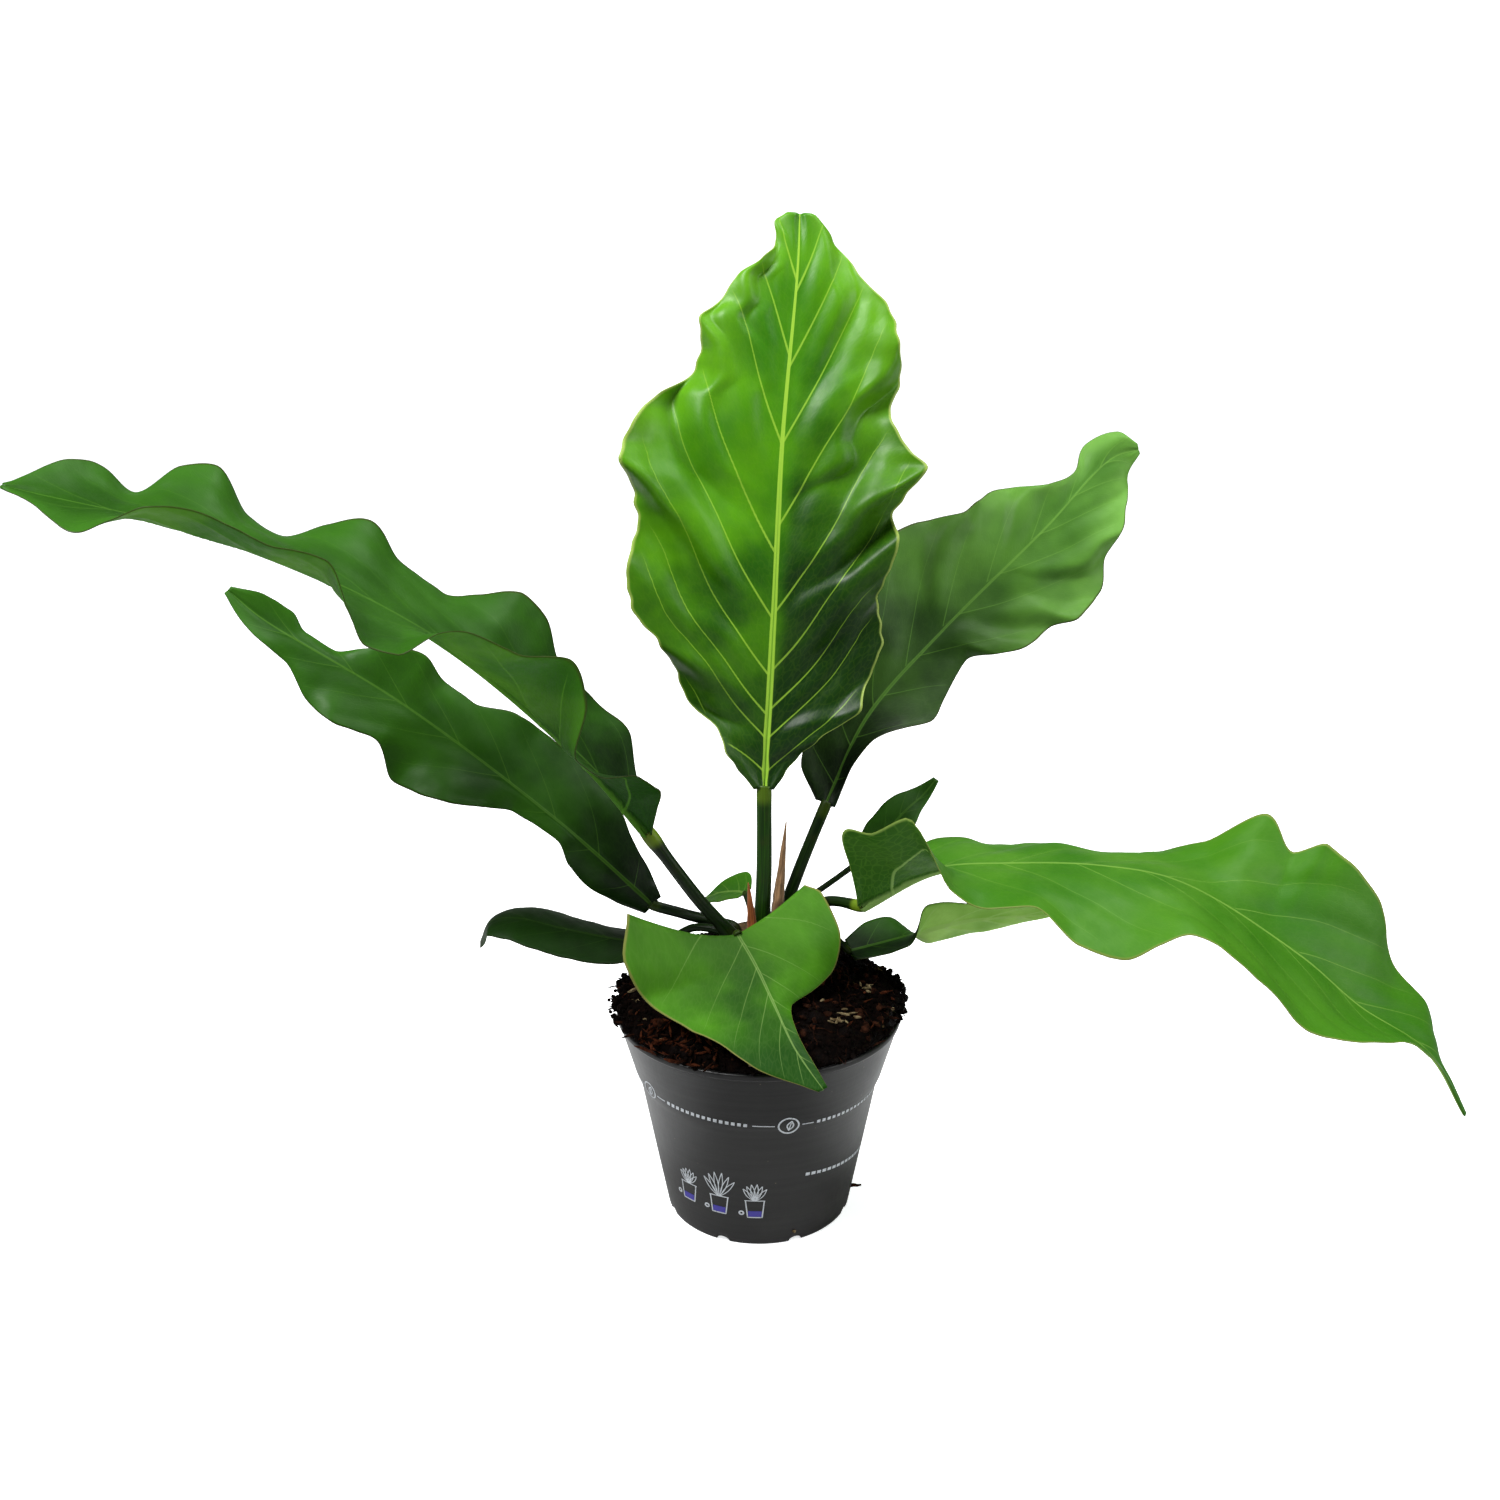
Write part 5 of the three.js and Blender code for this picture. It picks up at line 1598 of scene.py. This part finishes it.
FLOOR_GLOW = 0.76
SHEEN_PATCH_GLOW = 0.9
SHEEN_PATCH_INNER = (0.05, 0.1)
SHEEN_PATCH_OUTER = (0.16, 0.2)
SHEEN_PATCH_DEPTH = (0.12, 0.18)
AIR_LIGHT = 0.16


def make_floor():
    """White floor and backdrop, brighter to the eye than to the plant, with a patch either side that glows in
    reflections only: a painted sheen on the pot's flanks.
    """
    material, graph, surface = new_material("studio_white", roughness=0.9, specular=0.1)
    grain = graph.noise(graph.place(), 6.0, detail=2.0)
    path = graph.add("ShaderNodeLightPath").outputs
    seen = path["Is Camera Ray"]
    tone = graph.mix(grain, (0.9, 0.9, 0.9, 1), (0.93, 0.93, 0.93, 1))
    graph.feed(surface["Base Color"], graph.mix(seen, (0.4, 0.4, 0.4, 1), tone))
    surface["Emission Color"].default_value = (0.97, 0.99, 1.0, 1)
    # glowing patches either side of the pot, seen only by glossy rays, paint the sheen on the pot's sides
    x, y, _ = graph.split(graph.place())
    beside, depth = graph.math("ABSOLUTE", x), graph.math("ABSOLUTE", y)
    outer = graph.fade(beside, *SHEEN_PATCH_OUTER, SHEEN_PATCH_GLOW, 0.0)
    sheen_patches = graph.math("MULTIPLY", graph.fade(beside, *SHEEN_PATCH_INNER), outer)
    sheen_patches = graph.math("MULTIPLY", sheen_patches, graph.fade(depth, *SHEEN_PATCH_DEPTH, 1.0, 0.0))
    sheen_patches = graph.math("MULTIPLY", sheen_patches, path["Is Glossy Ray"])
    graph.feed(surface["Emission Strength"], graph.math("MULTIPLY_ADD", seen, FLOOR_GLOW, sheen_patches))
    points, sweep = [], []
    for k in range(13):
        a = math.pi / 2 * k / 12
        sweep.append((2.2 + 0.8 * math.sin(a), 0.8 - 0.8 * math.cos(a)))
    outline = [(-6.0, 0.0), *sweep, (3.0, 6.0)]
    for y, z in outline:
        points += [(-8.0, y, z), (8.0, y, z)]
    faces = [[2 * i, 2 * i + 1, 2 * i + 3, 2 * i + 2] for i in range(len(outline) - 1)]
    mesh = bpy.data.meshes.new("studio_floor")
    mesh.from_pydata(points, [], faces)
    mesh.materials.append(material)
    floor = bpy.data.objects.new("studio_floor", mesh)
    bpy.context.scene.collection.objects.link(floor)


def aim(item, place, target):
    item.location = place
    item.rotation_euler = (Vector(target) - Vector(place)).to_track_quat("-Z", "Y").to_euler()


def make_light(name, place, target, size, watts):
    data = bpy.data.lights.new(name, "AREA")
    data.shape = "RECTANGLE"
    data.size, data.size_y = size
    data.energy = watts
    light = bpy.data.objects.new(name, data)
    bpy.context.scene.collection.objects.link(light)
    aim(light, place, target)


PLANT_MIDDLE = (0.0, 0.0, 0.2)
make_floor()
make_light("key_light", (-1.0, -0.55, 1.8), PLANT_MIDDLE, (0.9, 0.8), 62)
make_light("top_light", (0.7, 0.2, 2.0), PLANT_MIDDLE, (1.3, 1.1), 29)
make_light("side_light", (1.9, -0.7, 0.9), PLANT_MIDDLE, (0.5, 1.4), 21)


def make_air():
    """White all round for the eye, dimmer for the light that reaches the plant."""
    world = bpy.data.worlds.new("studio_air")
    world.use_nodes = True
    graph = Graph(world.node_tree)
    world.node_tree.nodes.clear()
    seen = graph.add("ShaderNodeLightPath").outputs["Is Camera Ray"]
    air = graph.add("ShaderNodeBackground")
    graph.feed(air.inputs["Strength"], graph.math("MAXIMUM", seen, AIR_LIGHT))
    out = graph.add("ShaderNodeOutputWorld")
    world.node_tree.links.new(air.outputs[0], out.inputs["Surface"])
    air.inputs["Color"].default_value = (1, 1, 1, 1)
    bpy.context.scene.world = world


make_air()
bpy.context.scene.view_settings.view_transform = "Standard"

CAMERA_HEIGHT = 0.413
CAMERA_DISTANCE = 0.63
CAMERA_OFFSET = -0.0038
CAMERA_PITCH = math.radians(18.3)
camera_data = bpy.data.cameras.new("camera")
camera_data.lens = 39.65
camera_data.sensor_width = 36.0
camera_data.clip_start = 0.01
camera = bpy.data.objects.new("camera", camera_data)
camera.location = (CAMERA_OFFSET, -CAMERA_DISTANCE, CAMERA_HEIGHT)
camera.rotation_euler = (math.pi / 2 - CAMERA_PITCH, 0, 0)
bpy.context.scene.collection.objects.link(camera)
bpy.context.scene.camera = camera
